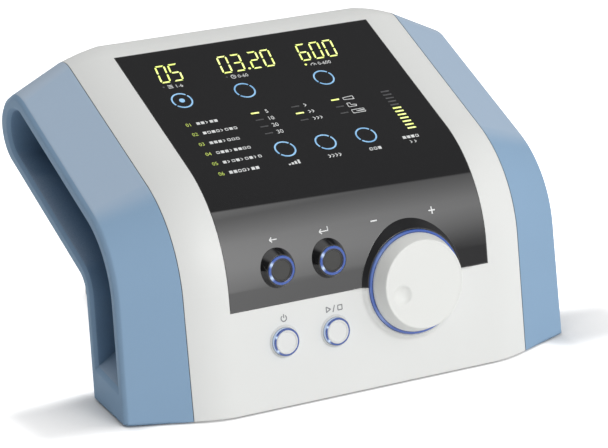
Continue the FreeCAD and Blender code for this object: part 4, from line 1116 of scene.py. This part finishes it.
def makeSky():
    # a bright wall of light round the table, weaker to the left and behind, with a dim part high up at the
    # right and the back, a dark flag low at the right, and bright patches overhead and low behind
    sky = {
        "wall": ((0.0, 0.84), (0.05, 0.9), (0.13, 0.98), (0.22, 1.08), (0.3, 1.13), (0.45, 1.16),
                 (0.53, 1.14), (0.6, 1.0), (0.68, 0.82), (0.75, 0.65), (0.82, 1.0), (0.9, 1.1), (0.95, 1.1),
                 (1.0, 1.1)),
        "brightSide": (0.695, -0.719, 0.0), "sideLow": 0.03, "sideHigh": 1.42, "sidePower": 1.9,
        "slopeX": (0.447, 0.516), "slopeValues": (1.12, 0.84),
        "belowHeight": (-0.065, 0.0), "belowValues": (0.7, 1.0),
        "deepHeight": (-0.1, -0.075), "deepValue": 1.6,
        "dimStart": 49.3,            # degrees to the right of the front
        "dimLow": (0.68, 0.72), "dimHigh": (0.93, 0.96), "dimEdge": 0.008, "dim": 0.12,
        "overhead": (-0.22, 0.62, 0.75), "overheadEdge": (0.78, 0.93), "overheadValue": 0.8,
        "rear": (0.08, 0.96, 0.26), "rearEdge": (0.78, 0.94), "rearValue": 0.75,
        "flagX": (0.488, 0.508), "flagEnd": (0.6, 0.75), "flagHeight": (-0.02, 0.45), "flagShare": 0.68,
    }
    world = bpy.data.worlds.new("studioSky")
    world.use_nodes = True
    bpy.context.scene.world = world
    tree = world.node_tree
    place = addNode(tree, "ShaderNodeTexCoord").outputs["Generated"]
    split = addNode(tree, "ShaderNodeSeparateXYZ")
    tree.links.new(place, split.inputs[0])
    across, high = split.outputs["X"], split.outputs["Z"]

    def along(direction):
        dot = addNode(tree, "ShaderNodeVectorMath", operation="DOT_PRODUCT")
        tree.links.new(place, dot.inputs[0])
        dot.inputs[1].default_value = direction
        return dot.outputs["Value"]

    ramp = addNode(tree, "ShaderNodeValToRGB")
    while len(ramp.color_ramp.elements) < len(sky["wall"]):
        ramp.color_ramp.elements.new(0.5)
    for element, (position, value) in zip(ramp.color_ramp.elements, sky["wall"]):
        element.position = position
        element.color = (value, value, value, 1)
    tree.links.new(high, ramp.inputs["Fac"])
    side = calc(tree, "POWER", spread(tree, along(sky["brightSide"]), -1.0, 1.0), sky["sidePower"])
    side = spread(tree, side, 0.0, 1.0, sky["sideLow"], sky["sideHigh"])
    wall = calc(tree, "MULTIPLY", ramp.outputs["Color"], side)
    wall = calc(tree, "MULTIPLY", wall, spread(tree, across, *sky["slopeX"], *sky["slopeValues"]))
    flag = calc(tree, "MULTIPLY", spread(tree, across, *sky["flagX"], smooth=True),
                spread(tree, across, *sky["flagEnd"], 1.0, 0.0, smooth=True))
    flag = calc(tree, "MULTIPLY", flag, spread(tree, high, *sky["flagHeight"], sky["flagShare"], 0.0))
    wall = calc(tree, "MULTIPLY", wall, calc(tree, "SUBTRACT", 1.0, flag))
    below = calc(tree, "ADD", spread(tree, high, *sky["belowHeight"], *sky["belowValues"]),
                 spread(tree, high, *sky["deepHeight"], sky["deepValue"], 0.0))
    wall = calc(tree, "MULTIPLY", wall, below)
    turn = radians(sky["dimStart"])
    behind = spread(tree, along((-cos(turn), -sin(turn), 0)), -sky["dimEdge"], sky["dimEdge"], 1.0, 0.0)
    upper = calc(tree, "MULTIPLY", spread(tree, high, *sky["dimLow"], smooth=True),
                 spread(tree, high, *sky["dimHigh"], 1.0, 0.0, smooth=True))
    dimShare = calc(tree, "MULTIPLY", behind, upper)
    strength = calc(tree, "ADD", calc(tree, "MULTIPLY", wall, calc(tree, "SUBTRACT", 1.0, dimShare)),
                    calc(tree, "MULTIPLY", dimShare, sky["dim"]))
    for patch in ("overhead", "rear"):
        share = spread(tree, along(sky[patch]), *sky[patch + "Edge"], smooth=True)
        strength = calc(tree, "ADD", strength, calc(tree, "MULTIPLY", share, sky[patch + "Value"]))
    background = tree.nodes["Background"]
    background.inputs["Color"].default_value = (1, 1, 1, 1)
    tree.links.new(strength, background.inputs["Strength"])


def makeLamp():
    # one large soft lamp above the front, a little to the right
    lamp = {"turn": 8.0, "height": 32.0, "distance": 2.6, "size": 1.3, "power": 17.5, "target": (0, 0, 0.09)}
    data = bpy.data.lights.new("softLamp", "AREA")
    data.shape = "DISK"
    data.size = lamp["size"]
    data.energy = lamp["power"]
    piece = bpy.data.objects.new("softLamp", data)
    bpy.context.scene.collection.objects.link(piece)
    turn, height = radians(lamp["turn"]), radians(lamp["height"])
    away = Vector((sin(turn) * cos(height), -cos(turn) * cos(height), sin(height)))
    place = Matrix.Translation(Vector(lamp["target"]) + away * lamp["distance"])
    piece.matrix_world = place @ (-away).to_track_quat("-Z", "Y").to_matrix().to_4x4()
    piece.visible_camera = False


def makeCamera():
    view = {"place": (-0.95469, -1.71178, 0.74861), "target": (0.00899, -0.02767, 0.07903), "lens": 189.15,
            "sensor": 36.0}
    data = bpy.data.cameras.new("camera")
    data.lens = view["lens"]
    data.sensor_width = view["sensor"]
    camera = bpy.data.objects.new("camera", data)
    bpy.context.scene.collection.objects.link(camera)
    direction = Vector(view["target"]) - Vector(view["place"])
    turned = direction.to_track_quat("-Z", "Y").to_matrix().to_4x4()
    camera.matrix_world = Matrix.Translation(view["place"]) @ turned
    bpy.context.scene.camera = camera


makeFloor()
makeSky()
makeLamp()
makeCamera()
bpy.context.scene.view_settings.view_transform = "Standard"
print("floor, light and camera set")
